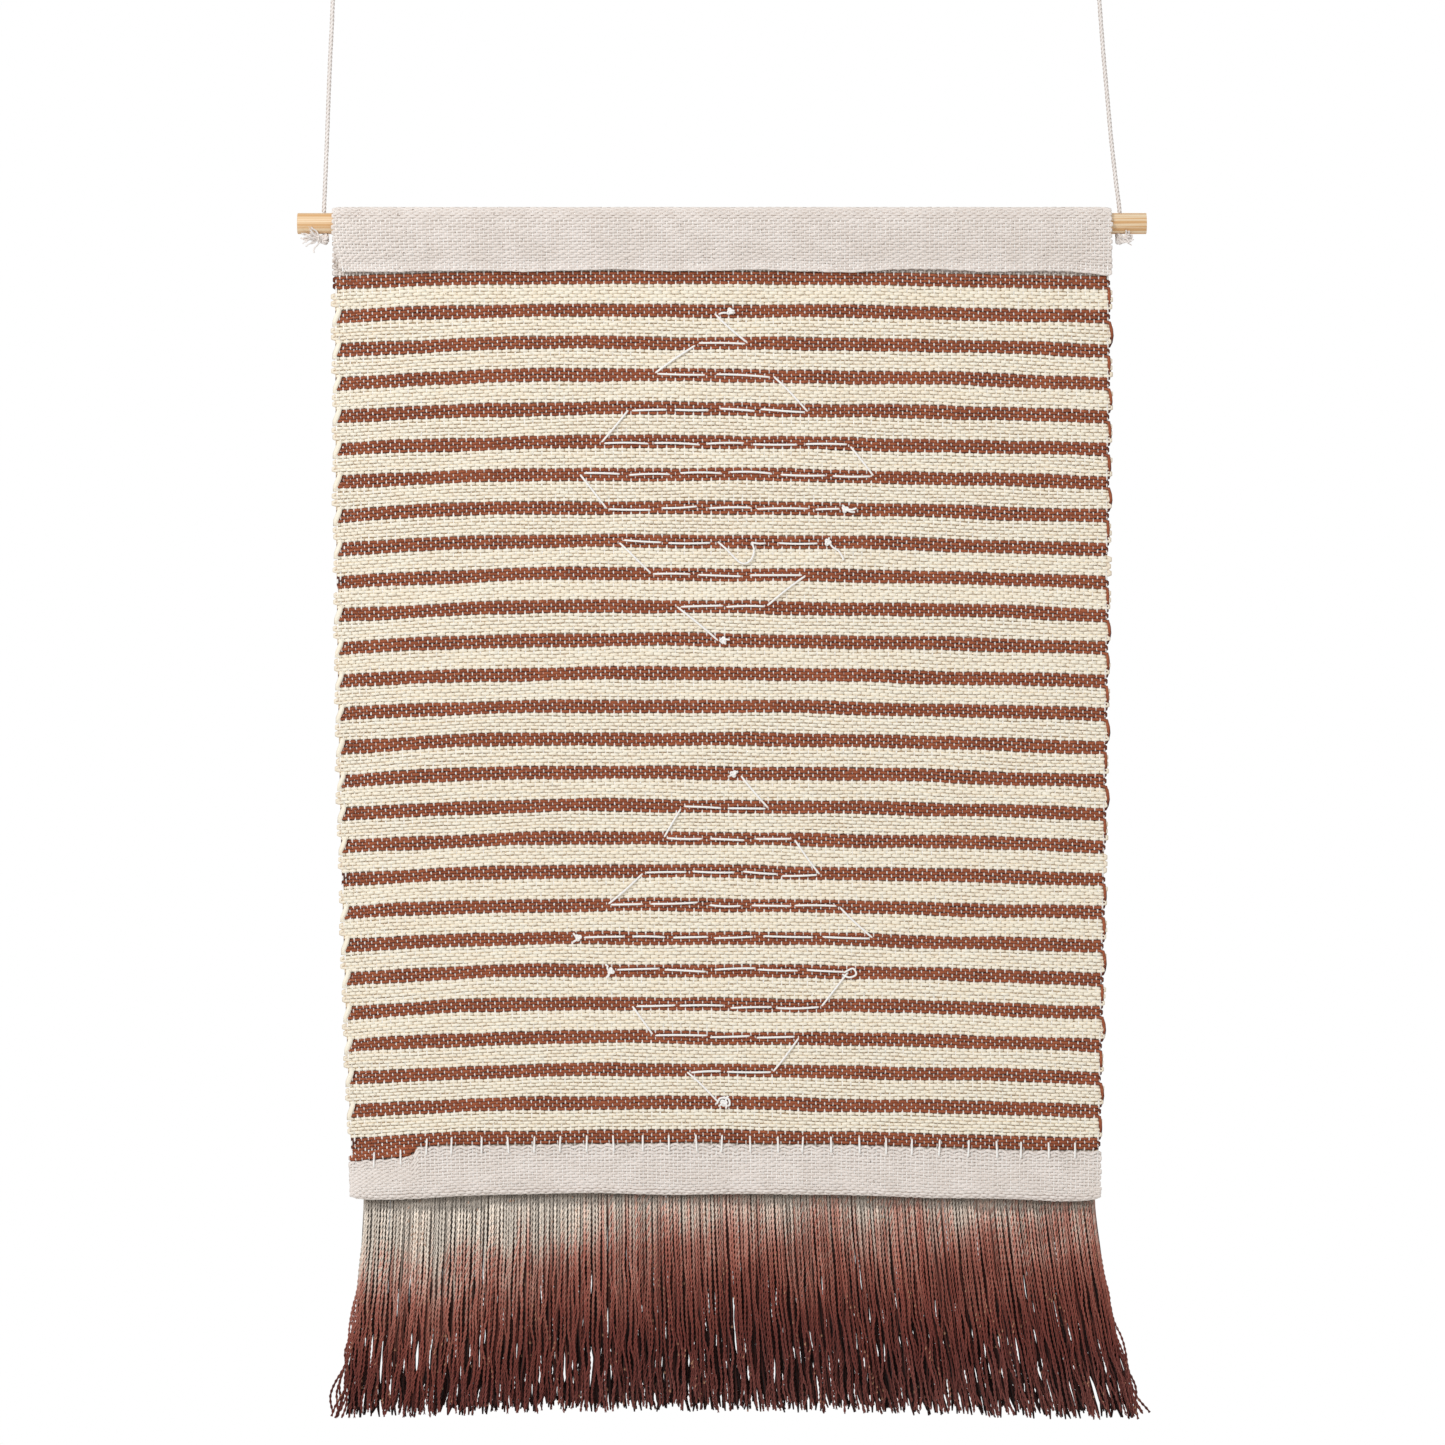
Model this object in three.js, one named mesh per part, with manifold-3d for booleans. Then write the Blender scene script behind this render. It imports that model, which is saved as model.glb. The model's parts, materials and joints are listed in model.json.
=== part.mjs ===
// A handwoven tapestry wall hanging: a striped cotton cloth with a rod sleeve, a pine dowel on a cord,
// a hem folded to the front, two stitched diamonds and a long fringe.
//
// Millimetres. +X runs to the viewer's right, +Z is up, and the cloth faces -Y.
// The origin is the middle of the cord's top stretch, where two wall pegs hold the piece up.

import * as THREE from 'three';
import { mergeVertices } from 'three/addons/utils/BufferGeometryUtils.js';
import Module from 'manifold-3d';

const wasm = await Module();
wasm.setup();

// ---------------------------------------------------------------- driving dimensions

const GAP = 0.3;                  // air left between two pieces that touch

const DROP = 140;                 // the cord's top stretch to the dowel's axis
const DOWEL_R = 6;
const DOWEL_LENGTH = 485;
const DOWEL_CHAMFER = 0.5;
const DOWEL_SIDES = 24;
const HOLE_R = 1.9;               // drilled down through the dowel for the cord
const HOLE_SIDES = 12;
const HOLE_INSET = 15;            // from the dowel's end to the hole

const CORD_R = 1.25;
const CORD_SIDES = 8;
const KNOT_R = 3.6;
const KNOT_SQUASH = 0.9;          // a knot's height against its width
const KNOT_TAIL_R = [2.6, 1.1];   // at the frayed end and at the knot

const HALF_WIDTH = 221;           // half of the cloth's width at the sleeve
const LEFT_TAPER = 10.5;          // how far each edge has drawn in at the hem
const RIGHT_TAPER = 6.5;
const CLOTH_Y = 0.5;              // the warp's plane, so that the cloth's weight hangs under the dowel

const WARP_T = 0.6;
const WEFT_T = 1.0;               // weft on one face of the warp
const GREIGE_T = 2.4;             // the sleeve's and hem's finer cloth, warp and weft together
const FOLD_GAP = 1.8;             // between the two layers of a fold, where its sewing thread runs

const STRIPES = 27;
const STRIPE_PITCH = 18.9;
const STRIPE_H = 7.2;
const FIRST_STRIPE = 32.2;        // depth of the first stripe's middle below the dowel's axis
const SLEEVE_BOTTOM = 28;
const HEM_TOP = 527.6;
const HEM_BOTTOM = 556.5;
const CARRY_W = 1.5;              // width of the weft yarn carried up a selvedge from band to band

const PEAK_X = -70;               // where the wavy picks stand highest
const WAVE_RISE = 2.2;
const WAVE_SAG = 5.0;
const SLEEVE_WAVE = 0.6;          // share of the wave that the sleeve's lower edge has
const SLEEVE_WAVE_TOP = 12;       // depth where the sleeve, clear of the dowel, begins to wave
const SLEEVE_WAVE_REACH = 16;

const THREAD_W = 1.0;             // embroidery thread
const EMBROIDERY_KNOT_R = 1.5;
const SEWING_W = 0.8;
const WHIP_PITCH = 16;
const WHIP_REACH = 5;             // down the flap's front
const WHIP_ROOT = 2.6;            // down inside the fold, to the sewing thread

const FRINGE_LENGTH = 119;
const BUNDLE_AIR = 0.5;           // half of the space between two bundles
const FRINGE_RAGGED = 4;          // how far one bundle's length strays from the next
const SECTIONS = 6;
const BUNDLES_PER_SECTION = 4;
const FRINGE_TOP_R = 3;           // half of the fringe's thickness where it bends
const FRINGE_FOOT_R = 4;
const FRINGE_TOP = [-205, 213.5];
const FRINGE_FOOT = [-215.5, 236.5];

// ---------------------------------------------------------------- colours and finishes

const finish = (color, roughness, metalness = 0) =>
  new THREE.MeshStandardMaterial({ color, roughness, metalness });

const FINISH = {
  pine: () => finish(0xe2bd82, 0.55),
  cord: () => finish(0xe6dcd0, 0.9),
  greige: () => finish(0xdccfc4, 0.95),
  warp: () => finish(0xf2ece2, 0.9),
  terracotta: () => finish(0x8f4a30, 0.95),
  cream: () => finish(0xeee0bf, 0.95),
  thread: () => finish(0xefeae3, 0.85),
  fringe: () => finish(0x7a4238, 0.95),
};

// ---------------------------------------------------------------- helpers

const root = new THREE.Group();

function add(name, geometry, material) {
  const mesh = new THREE.Mesh(geometry, material());
  mesh.name = name;
  root.add(mesh);
}

function toSolid(geometry) {
  const bare = new THREE.BufferGeometry();
  bare.setAttribute('position', geometry.getAttribute('position').clone());
  if (geometry.index) bare.setIndex(geometry.index.clone());
  const merged = mergeVertices(bare, 1e-4);
  return new wasm.Manifold(new wasm.Mesh({
    numProp: 3,
    vertProperties: new Float32Array(merged.getAttribute('position').array),
    triVerts: new Uint32Array(merged.index.array),
  }));
}

function toGeometry(solid) {
  const mesh = solid.getMesh();
  const geometry = new THREE.BufferGeometry();
  geometry.setAttribute('position', new THREE.BufferAttribute(mesh.vertProperties, 3));
  geometry.setIndex(new THREE.BufferAttribute(mesh.triVerts, 1));
  return geometry;
}

function joined(geometries) {
  const solids = geometries.map(toSolid);
  return toGeometry(solids.reduce((sum, solid) => sum.add(solid)));
}

// Turns a section drawn as (y, z) and extruded along its own normal so that it runs along X.
const SECTION_TO_X = new THREE.Matrix4().makeBasis(
  new THREE.Vector3(0, 1, 0),
  new THREE.Vector3(0, 0, 1),
  new THREE.Vector3(1, 0, 0),
);

// Sweeps a (y, z) section along X, with a ring of points at each of the given stations.
function sweepAlongX(shape, stations) {
  const steps = stations.length - 1;
  const geometry = new THREE.ExtrudeGeometry(shape, {
    depth: steps, steps, bevelEnabled: false, curveSegments: 4,
  });
  geometry.applyMatrix4(SECTION_TO_X);
  const position = geometry.getAttribute('position');
  for (let i = 0; i < position.count; i += 1) {
    position.setX(i, stations[Math.round(position.getX(i))]);
  }
  return geometry;
}

function rectangle(y0, y1, z0, z1) {
  return new THREE.Shape([[y0, z0], [y1, z0], [y1, z1], [y0, z1]]
    .map(([y, z]) => new THREE.Vector2(y, z)));
}

// A band of even thickness along a path of [y, z] points.
function bandShape(path, thickness) {
  const offset = (side) => path.map(([y, z], i) => {
    const before = path[Math.max(i - 1, 0)];
    const after = path[Math.min(i + 1, path.length - 1)];
    const along = new THREE.Vector2(after[0] - before[0], after[1] - before[1]).normalize();
    const reach = side * thickness / 2;
    return new THREE.Vector2(y - along.y * reach, z + along.x * reach);
  });
  return new THREE.Shape([...offset(1), ...offset(-1).reverse()]);
}

// ---------------------------------------------------------------- how the cloth hangs

// The picks aren't level: they rise to PEAK_X and sag towards both selvedges. The wave grows from
// nothing at the dowel to its full height a few stripes down.
function wave(x) {
  const span = x < PEAK_X ? HALF_WIDTH + PEAK_X : HALF_WIDTH - PEAK_X;
  return WAVE_RISE - WAVE_SAG * ((x - PEAK_X) / span) ** 2;
}

function waveShare(depth) {
  const grown = (top, reach) => THREE.MathUtils.clamp((depth - top) / reach, 0, 1);
  const atSleeve = grown(SLEEVE_WAVE_TOP, SLEEVE_WAVE_REACH);
  const below = grown(SLEEVE_BOTTOM, 3 * STRIPE_PITCH);
  return SLEEVE_WAVE * atSleeve + (1 - SLEEVE_WAVE) * below;
}

function hungPoint(x, depth) {
  const down = THREE.MathUtils.clamp(depth / HEM_BOTTOM, 0, 1);
  const drawnIn = x < 0 ? LEFT_TAPER * down ** 2.5 : RIGHT_TAPER * down ** 2;
  return {
    x: x * (1 - drawnIn / HALF_WIDTH),
    z: -DROP - depth + wave(x) * waveShare(depth),
  };
}

// Moves a flat, level piece of cloth to where it hangs.
function hang(geometry) {
  const position = geometry.getAttribute('position');
  for (let i = 0; i < position.count; i += 1) {
    const hung = hungPoint(position.getX(i), -DROP - position.getZ(i));
    position.setX(i, hung.x);
    position.setZ(i, hung.z);
  }
  return geometry;
}

// Where a piece as wide as the cloth follows the wave.
const CLOTH_SEGMENTS = [-140, -70, 80];
const acrossCloth = (inset = 0) => [-HALF_WIDTH + inset, ...CLOTH_SEGMENTS, HALF_WIDTH - inset];

// ---------------------------------------------------------------- dowel, cord and knots

const HOLE_X = DOWEL_LENGTH / 2 - HOLE_INSET;

function makeDowel() {
  const end = DOWEL_LENGTH / 2;
  const profile = [
    [0, -end],
    [DOWEL_R - DOWEL_CHAMFER, -end],
    [DOWEL_R, -end + DOWEL_CHAMFER],
    [DOWEL_R, end - DOWEL_CHAMFER],
    [DOWEL_R - DOWEL_CHAMFER, end],
    [0, end],
  ].map(([r, y]) => new THREE.Vector2(r, y));
  const rod = new THREE.LatheGeometry(profile, DOWEL_SIDES).rotateZ(-Math.PI / 2).translate(0, 0, -DROP);
  const hole = (x) => new THREE.CylinderGeometry(HOLE_R, HOLE_R, 4 * DOWEL_R, HOLE_SIDES)
    .rotateX(Math.PI / 2).translate(x, 0, -DROP);
  const drilled = toSolid(rod).subtract(toSolid(hole(-HOLE_X))).subtract(toSolid(hole(HOLE_X)));
  add('dowel', toGeometry(drilled), FINISH.pine);
}

// The cord's centreline, as [x, z]: up through the left hole, up to the left peg, over it, across to
// the right peg and down through the right hole. It ends on a stopper knot under each end.
const CORD_ROUTE = [
  [-227.5, -146], [-227.5, -139], [-227.3, -130], [-226.7, -116], [-225.7, -92], [-224.8, -68],
  [-223.9, -46], [-222.9, -26], [-222.2, -11], [-220.7, -5.5], [-216.7, -1.5], [-211.2, 0],
  [-185, 0], [-145, 0], [-105, 0], [-60, 0], [-20, 0], [20, 0], [60, 0], [105, 0], [145, 0],
  [180, 0], [204.4, 0], [209.9, -1.5], [213.9, -5.5], [215.4, -11], [216.6, -26], [218.2, -46],
  [220.2, -68], [222.4, -92], [225.1, -116], [226.9, -130], [227.5, -139], [227.5, -146],
];
const CORD_STEPS = 80;

function makeCord() {
  const section = new THREE.Shape();
  for (let i = 0; i < CORD_SIDES; i += 1) {
    const angle = i / CORD_SIDES * 2 * Math.PI;
    const corner = [CORD_R * Math.cos(angle), CORD_R * Math.sin(angle)];
    if (i === 0) section.moveTo(...corner);
    else section.lineTo(...corner);
  }
  const route = new THREE.CatmullRomCurve3(
    CORD_ROUTE.map(([x, z]) => new THREE.Vector3(x, 0, z)), false, 'centripetal');
  add('hanging_cord', new THREE.ExtrudeGeometry(section, {
    extrudePath: route, steps: CORD_STEPS, bevelEnabled: false,
  }), FINISH.cord);
}

// A half-tight overhand knot with its frayed tail laid out to one side.
function makeKnot(name, x, tailSide, tailLength) {
  const top = -DROP - DOWEL_R - GAP;
  const knot = new THREE.SphereGeometry(KNOT_R, 12, 8)
    .rotateX(Math.PI / 2).scale(1.15, 1, KNOT_SQUASH);
  const tail = new THREE.CylinderGeometry(...KNOT_TAIL_R, tailLength, 8)
    .translate(0, tailLength / 2, 0).rotateZ(-tailSide * Math.PI * 0.58);
  tail.rotateX(Math.PI / 2);
  add(name, joined([knot, tail]).translate(x, 0, top - KNOT_R * KNOT_SQUASH), FINISH.cord);
}

// ---------------------------------------------------------------- the striped field

const WEFT_FACE_Y = CLOTH_Y - WARP_T / 2 - GAP - WEFT_T;   // the striped field's front face
const stripeDepth = (k) => FIRST_STRIPE + STRIPE_PITCH * k;

// Stands a shape drawn as (x, z) upright, filling y0 to y1.
const SHAPE_TO_XZ = new THREE.Matrix4().makeBasis(
  new THREE.Vector3(1, 0, 0),
  new THREE.Vector3(0, 0, 1),
  new THREE.Vector3(0, -1, 0),
);

function upright(shape, y0, y1) {
  return new THREE.ExtrudeGeometry(shape, { depth: y1 - y0, steps: 1, bevelEnabled: false })
    .applyMatrix4(SHAPE_TO_XZ).translate(0, y1, 0);
}

function hungShape(points) {
  return new THREE.Shape(points.map(([x, depth]) => {
    const hung = hungPoint(x, depth);
    return new THREE.Vector2(hung.x, hung.z);
  }));
}

// One colour's weft on one face: its bands, and the yarn carried past the other colour's bands
// along the selvedge on the given side. Bands are [top, bottom] depths.
function combShape(bands, side) {
  const outer = side * HALF_WIDTH;
  const spine = side * (HALF_WIDTH - CARRY_W);
  const tip = -side * (HALF_WIDTH - CARRY_W - GAP);
  const across = side > 0 ? [...CLOTH_SEGMENTS].reverse() : CLOTH_SEGMENTS;
  const down = bands.flatMap(([top, bottom]) => [[outer, top], [outer, bottom]]);
  const teeth = [...bands].reverse().flatMap(([top, bottom]) => [
    [spine, bottom], ...across.map((x) => [x, bottom]), [tip, bottom],
    [tip, top], ...across.map((x) => [x, top]).reverse(), [spine, top],
  ]);
  return hungShape([...down, ...teeth]);
}

// The turns of the yarn at the selvedge, which join the cloth's two faces. They are drawn a little
// smaller than the faces, so that no two surfaces coincide where they are joined.
const BITE = 0.1;

function turnShape(bands, side) {
  const edges = [HALF_WIDTH - BITE, HALF_WIDTH - CARRY_W + BITE].map((x) => side * x);
  const depths = bands.flatMap(([top, bottom]) => [top + BITE, bottom - BITE]);
  return hungShape([
    ...depths.map((depth) => [edges[0], depth]),
    ...depths.reverse().map((depth) => [edges[1], depth]),
  ]);
}

function weft(bands, side) {
  const slot = WARP_T / 2 + GAP;
  const face = slot + WEFT_T;
  return joined([
    upright(combShape(bands, side), CLOTH_Y - face, CLOTH_Y - slot),
    upright(combShape(bands, side), CLOTH_Y + slot, CLOTH_Y + face),
    upright(turnShape(bands, side), CLOTH_Y - face + 2 * BITE, CLOTH_Y + face - 2 * BITE),
  ]);
}

// Both yarns run unbroken from the first band to the last: the terracotta is carried up the right
// selvedge past the cream, and the cream up the left selvedge past the terracotta.
function makeWefts() {
  const band = (k, height) => [stripeDepth(k) - height / 2, stripeDepth(k) + height / 2];
  const terracotta = Array.from({ length: STRIPES }, (_, k) => band(k, STRIPE_H));
  const creamHeight = STRIPE_PITCH - STRIPE_H - 2 * GAP;
  const cream = Array.from({ length: STRIPES - 1 }, (_, k) => band(k + 0.5, creamHeight));
  add('terracotta_weft', weft(terracotta, 1), FINISH.terracotta);
  add('cream_weft', weft(cream, -1), FINISH.cream);
}

// The warp ends of the striped field, as one sheet between the two faces of weft.
function makeWarp() {
  const top = -DROP - stripeDepth(0) + STRIPE_H / 2;
  const bottom = -DROP - stripeDepth(STRIPES - 1) - STRIPE_H / 2;
  const section = rectangle(CLOTH_Y - WARP_T / 2, CLOTH_Y + WARP_T / 2, bottom, top);
  add('warp_threads', hang(sweepAlongX(section, acrossCloth(4))), FINISH.warp);
}

// ---------------------------------------------------------------- sleeve and hem

const FLAP_Y = CLOTH_Y - GREIGE_T - FOLD_GAP;   // mid-plane of a layer folded to the front

// The cloth comes up behind the dowel, goes over it and down the front, and is sewn to itself.
function makeSleeve() {
  const loop = DOWEL_R + GAP + GREIGE_T / 2;
  const path = [
    [CLOTH_Y, -SLEEVE_BOTTOM],
    [CLOTH_Y, -24],
    [2.4, -18.5],
    [6.1, -9],
  ];
  for (let step = 0; step <= 9; step += 1) {
    const angle = step / 9 * Math.PI;
    path.push([loop * Math.cos(angle), loop * Math.sin(angle)]);
  }
  path.push([-6.9, -9], [-4.6, -18.5], [FLAP_Y, -24], [FLAP_Y, -SLEEVE_BOTTOM]);
  const sleeve = sweepAlongX(bandShape(path, GREIGE_T), acrossCloth());
  add('rod_sleeve', hang(sleeve.translate(0, 0, -DROP)), FINISH.greige);
}

const SEAM_Y = WEFT_FACE_Y - GAP - SEWING_W / 2;   // a thread that runs inside a fold

function seamRun(depth) {
  const half = SEWING_W / 2;
  const z = -DROP - depth;
  return sweepAlongX(rectangle(SEAM_Y - half, SEAM_Y + half, z - half, z + half), acrossCloth(4));
}

function makeSleeveSeam() {
  add('sleeve_seam_thread', hang(seamRun(SLEEVE_BOTTOM - 2.5)), FINISH.thread);
}

function makeHem() {
  const turn = (CLOTH_Y - FLAP_Y) / 2;
  const turnDepth = HEM_BOTTOM - GREIGE_T / 2 - turn;
  const path = [[CLOTH_Y, -HEM_TOP], [CLOTH_Y, -turnDepth]];
  for (let step = 1; step < 6; step += 1) {
    const angle = step / 6 * Math.PI;
    path.push([
      CLOTH_Y - turn + turn * Math.cos(angle),
      -turnDepth - turn * Math.sin(angle),
    ]);
  }
  path.push([FLAP_Y, -turnDepth], [FLAP_Y, -HEM_TOP]);
  const hem = sweepAlongX(bandShape(path.reverse(), GREIGE_T), acrossCloth());
  add('hem_fold', hang(hem.translate(0, 0, -DROP)), FINISH.greige);
}

// Whip stitches hook over the flap's edge from a thread that runs inside the fold.
function makeWhipStitches() {
  const half = SEWING_W / 2;
  const front = FLAP_Y - GREIGE_T / 2 - GAP - SEWING_W;
  const edge = -DROP - HEM_TOP + GAP;
  const pieces = [hang(seamRun(HEM_TOP + 2))];
  const stitch = new THREE.Shape([
    [SEAM_Y + half, edge - WHIP_ROOT],
    [SEAM_Y + half, edge + SEWING_W],
    [front, edge + SEWING_W],
    [front, edge - WHIP_REACH],
    [front + SEWING_W, edge - WHIP_REACH],
    [front + SEWING_W, edge],
    [SEAM_Y - half, edge],
    [SEAM_Y - half, edge - WHIP_ROOT],
  ].map(([y, z]) => new THREE.Vector2(y, z)));
  const count = Math.floor((2 * HALF_WIDTH - 20) / WHIP_PITCH);
  for (let i = 0; i <= count; i += 1) {
    const x = (i - count / 2) * WHIP_PITCH;
    pieces.push(hang(sweepAlongX(stitch, [x - half, x + half])));
  }
  add('hem_whip_stitches', joined(pieces), FINISH.thread);
}

// ---------------------------------------------------------------- stitched diamonds

// Each length of thread zigzags over the stripes: [stripe, left end, right end]. It leaves a knot,
// stitches one stripe, steps to the next on the side where it arrived, and so on to its other end.
const UPPER_TOP = {
  firstKnot: [2, 4.6],
  rows: [[3, -16, 18], [4, -39.4, 32], [5, -53.7, 47.4], [6, -70.3, 71.4], [7, -79.4, 88],
    [8, -69.1, 72.6]],
  startsRight: true,
};
const UPPER_BOTTOM = {
  rows: [[9, -56.6, 60.6], [10, -43.4, 47.4], [11, -23.4, 30.3]],
  startsRight: true,
  lastKnot: [12, 0.6],
};
const LOWER_TOP = {
  firstKnot: [16, 6.6],
  rows: [[17, -25.7, 22.9], [18, -33.1, 43.7], [19, -50.9, 51.4], [20, -65.1, 71.4],
    [21, -84.6, 88.6]],
  startsRight: true,
};
const LOWER_BOTTOM = {
  rows: [[22, -65.1, 70.9], [23, -53.7, 59.4], [24, -39.4, 45.7], [25, -22.6, 31.4]],
  startsRight: false,
  lastKnot: [26, 1.1],
};

function threadPoints({ firstKnot, rows, startsRight, lastKnot }) {
  const points = [];
  if (firstKnot) points.push([firstKnot[1], stripeDepth(firstKnot[0] - 1)]);
  let fromRight = startsRight;
  for (const [stripe, left, right] of rows) {
    const depth = stripeDepth(stripe - 1);
    const row = [[left, depth], [right, depth]];
    points.push(...(fromRight ? row.reverse() : row));
    fromRight = !fromRight;
  }
  if (lastKnot) points.push([lastKnot[1], stripeDepth(lastKnot[0] - 1)]);
  return points.map(([x, depth]) => hungPoint(x, depth));
}

// The outline of a thread of even width along its points, with a knot as a lump past each end.
function threadShape(points) {
  const half = THREAD_W / 2;
  const path = points.map(({ x, z }) => new THREE.Vector2(x, z));
  const along = path.slice(1).map((point, i) => point.clone().sub(path[i]).normalize());
  const normal = (direction) => new THREE.Vector2(-direction.y, direction.x);
  const mitres = path.map((_, i) => {
    const before = normal(along[Math.max(i - 1, 0)]);
    const after = normal(along[Math.min(i, along.length - 1)]);
    const middle = before.clone().add(after).normalize();
    return middle.multiplyScalar(half / middle.dot(before));
  });
  const knot = (end, outward) => [[0.4, 1], [1.4, 1], [2, 0], [1.4, -1], [0.4, -1]]
    .map(([out, side]) => end.clone()
      .addScaledVector(outward, out * EMBROIDERY_KNOT_R)
      .addScaledVector(normal(outward), -side * EMBROIDERY_KNOT_R));
  const last = path.length - 1;
  return new THREE.Shape([
    ...path.map((point, i) => point.clone().sub(mitres[i])),
    ...knot(path[last], along[last - 1]),
    ...path.map((point, i) => point.clone().add(mitres[i])).reverse(),
    ...knot(path[0], along[0].clone().negate()),
  ]);
}

function makeThread(name, plan) {
  const back = WEFT_FACE_Y - GAP;
  add(name, upright(threadShape(threadPoints(plan)), back - THREAD_W, back), FINISH.thread);
}

// ---------------------------------------------------------------- fringe

const BACK_Y = CLOTH_Y + GREIGE_T / 2;
const HEADER_T = 2.4;
const HEADER_INSET = [6, 1];      // below the hem's top and above its foot

// The tape that carries the fringe is sewn to the back of the hem.
function makeHeader() {
  const top = -DROP - HEM_TOP - HEADER_INSET[0];
  const foot = -DROP - HEM_BOTTOM + HEADER_INSET[1];
  const tape = rectangle(BACK_Y + GAP, BACK_Y + GAP + HEADER_T, foot, top);
  add('fringe_header', hang(sweepAlongX(tape, acrossCloth(7))), FINISH.greige);
  const threadY = BACK_Y + 2 * GAP + HEADER_T;
  const threadZ = top - 4;
  const thread = rectangle(threadY, threadY + SEWING_W, threadZ, threadZ + SEWING_W);
  add('header_seam_thread', hang(sweepAlongX(thread, acrossCloth(9))), FINISH.thread);
}

const BUNDLES = SECTIONS * BUNDLES_PER_SECTION;
const mix = (range, t) => range[0] + (range[1] - range[0]) * t;

// A section bends on one line, just under the lowest point of the hem above it.
function sectionAxisZ(section) {
  const ends = [section / SECTIONS, (section + 1) / SECTIONS].map((t) => mix(FRINGE_TOP, t));
  const hemFoot = Math.min(...ends.map((x) => hungPoint(x, HEM_BOTTOM).z));
  return hemFoot - 2 * GAP - FRINGE_TOP_R;
}

function makeBundle(index) {
  const section = Math.floor(index / BUNDLES_PER_SECTION);
  const axisZ = sectionAxisZ(section);
  const hemRise = axisZ + DROP + HEM_BOTTOM;
  const length = FRINGE_LENGTH + FRINGE_RAGGED * Math.sin(2.1 * index) - 0.2 * hemRise;
  const outline = new THREE.Shape();
  outline.moveTo(FRINGE_TOP_R, 0);
  outline.absarc(0, 0, FRINGE_TOP_R, 0, Math.PI, false);
  outline.lineTo(-FRINGE_FOOT_R, -length);
  outline.lineTo(FRINGE_FOOT_R, -length);
  const block = sweepAlongX(outline, [0, 1]);
  const position = block.getAttribute('position');
  for (let i = 0; i < position.count; i += 1) {
    const t = (index + position.getX(i)) / BUNDLES;
    const down = Math.max(-position.getZ(i) / FRINGE_LENGTH, 0);
    const inset = position.getX(i) > 0.5 ? -BUNDLE_AIR : BUNDLE_AIR;
    position.setX(i, THREE.MathUtils.lerp(mix(FRINGE_TOP, t), mix(FRINGE_FOOT, t), down) + inset);
  }
  const name = `fringe_bundle_${String(index + 1).padStart(2, '0')}`;
  add(name, block.translate(0, CLOTH_Y, axisZ), FINISH.fringe);
}

// ---------------------------------------------------------------- assembly

makeDowel();
makeCord();
makeKnot('cord_knot_left', -HOLE_X, -1, 11);
makeKnot('cord_knot_right', HOLE_X, 1, 6);
makeSleeve();
makeSleeveSeam();
makeWarp();
makeWefts();
makeHem();
makeWhipStitches();
makeThread('upper_diamond_top_thread', UPPER_TOP);
makeThread('upper_diamond_bottom_thread', UPPER_BOTTOM);
makeThread('lower_diamond_top_thread', LOWER_TOP);
makeThread('lower_diamond_bottom_thread', LOWER_BOTTOM);
makeHeader();
for (let index = 0; index < BUNDLES; index += 1) makeBundle(index);

export default root;
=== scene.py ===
# %% [markdown]
# # A handwoven wall hanging
#
# A striped cotton cloth hangs from a pine dowel, and the dowel hangs from a twisted cord. The cloth
# is weft-faced plain weave: its white warp shows only as dots, and thick yarns cross it from edge to
# edge. A box with a picture of a weave would give flat edges and a dead surface, so this lesson lays
# the yarns themselves: every pick goes over and under the warp and turns round at the selvedge.
#
# The script works in metres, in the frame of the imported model. X runs to the viewer's right, Z is up
# and the cloth faces -Y.

# %% Load the frame
import json
import math

import bmesh
import bpy
import numpy as np
from mathutils import Matrix, Vector


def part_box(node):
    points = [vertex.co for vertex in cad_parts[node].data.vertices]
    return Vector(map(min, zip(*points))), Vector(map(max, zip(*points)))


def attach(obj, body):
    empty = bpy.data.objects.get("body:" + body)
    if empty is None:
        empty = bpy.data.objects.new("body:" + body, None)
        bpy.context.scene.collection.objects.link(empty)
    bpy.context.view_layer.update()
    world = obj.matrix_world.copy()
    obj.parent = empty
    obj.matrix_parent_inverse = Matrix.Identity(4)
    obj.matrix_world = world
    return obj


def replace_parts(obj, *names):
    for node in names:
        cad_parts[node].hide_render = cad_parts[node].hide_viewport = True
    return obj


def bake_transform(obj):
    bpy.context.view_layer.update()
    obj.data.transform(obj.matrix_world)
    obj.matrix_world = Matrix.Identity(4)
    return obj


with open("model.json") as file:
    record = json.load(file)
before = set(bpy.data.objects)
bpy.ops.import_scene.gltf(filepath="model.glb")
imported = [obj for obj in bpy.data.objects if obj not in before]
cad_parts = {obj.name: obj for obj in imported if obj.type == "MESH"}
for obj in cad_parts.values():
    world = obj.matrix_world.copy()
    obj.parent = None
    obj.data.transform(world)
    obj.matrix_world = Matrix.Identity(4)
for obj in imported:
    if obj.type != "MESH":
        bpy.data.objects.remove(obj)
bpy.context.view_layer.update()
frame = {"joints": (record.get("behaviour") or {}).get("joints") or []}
MM = 0.001

# %% [markdown]
# ## Camera
#
# The piece is seen straight on, from far away through a long lens, so that its edges stay parallel.
# The lens is worked out from the width that has to fit at the cloth's distance.

# %% Camera
VIEW_WIDTH = 0.8257
VIEW_CENTRE = Vector((0.0003, 0, -0.4251))
CAMERA_AWAY = 4.0

camera = bpy.data.objects.new("camera", bpy.data.cameras.new("camera"))
bpy.context.scene.collection.objects.link(camera)
camera.data.lens = camera.data.sensor_width * CAMERA_AWAY / VIEW_WIDTH
camera.location = VIEW_CENTRE + Vector((0, -CAMERA_AWAY, 0))
camera.rotation_euler = (math.pi / 2, 0, 0)
bpy.context.scene.camera = camera
print(f"lens {camera.data.lens:.0f} mm")

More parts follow.
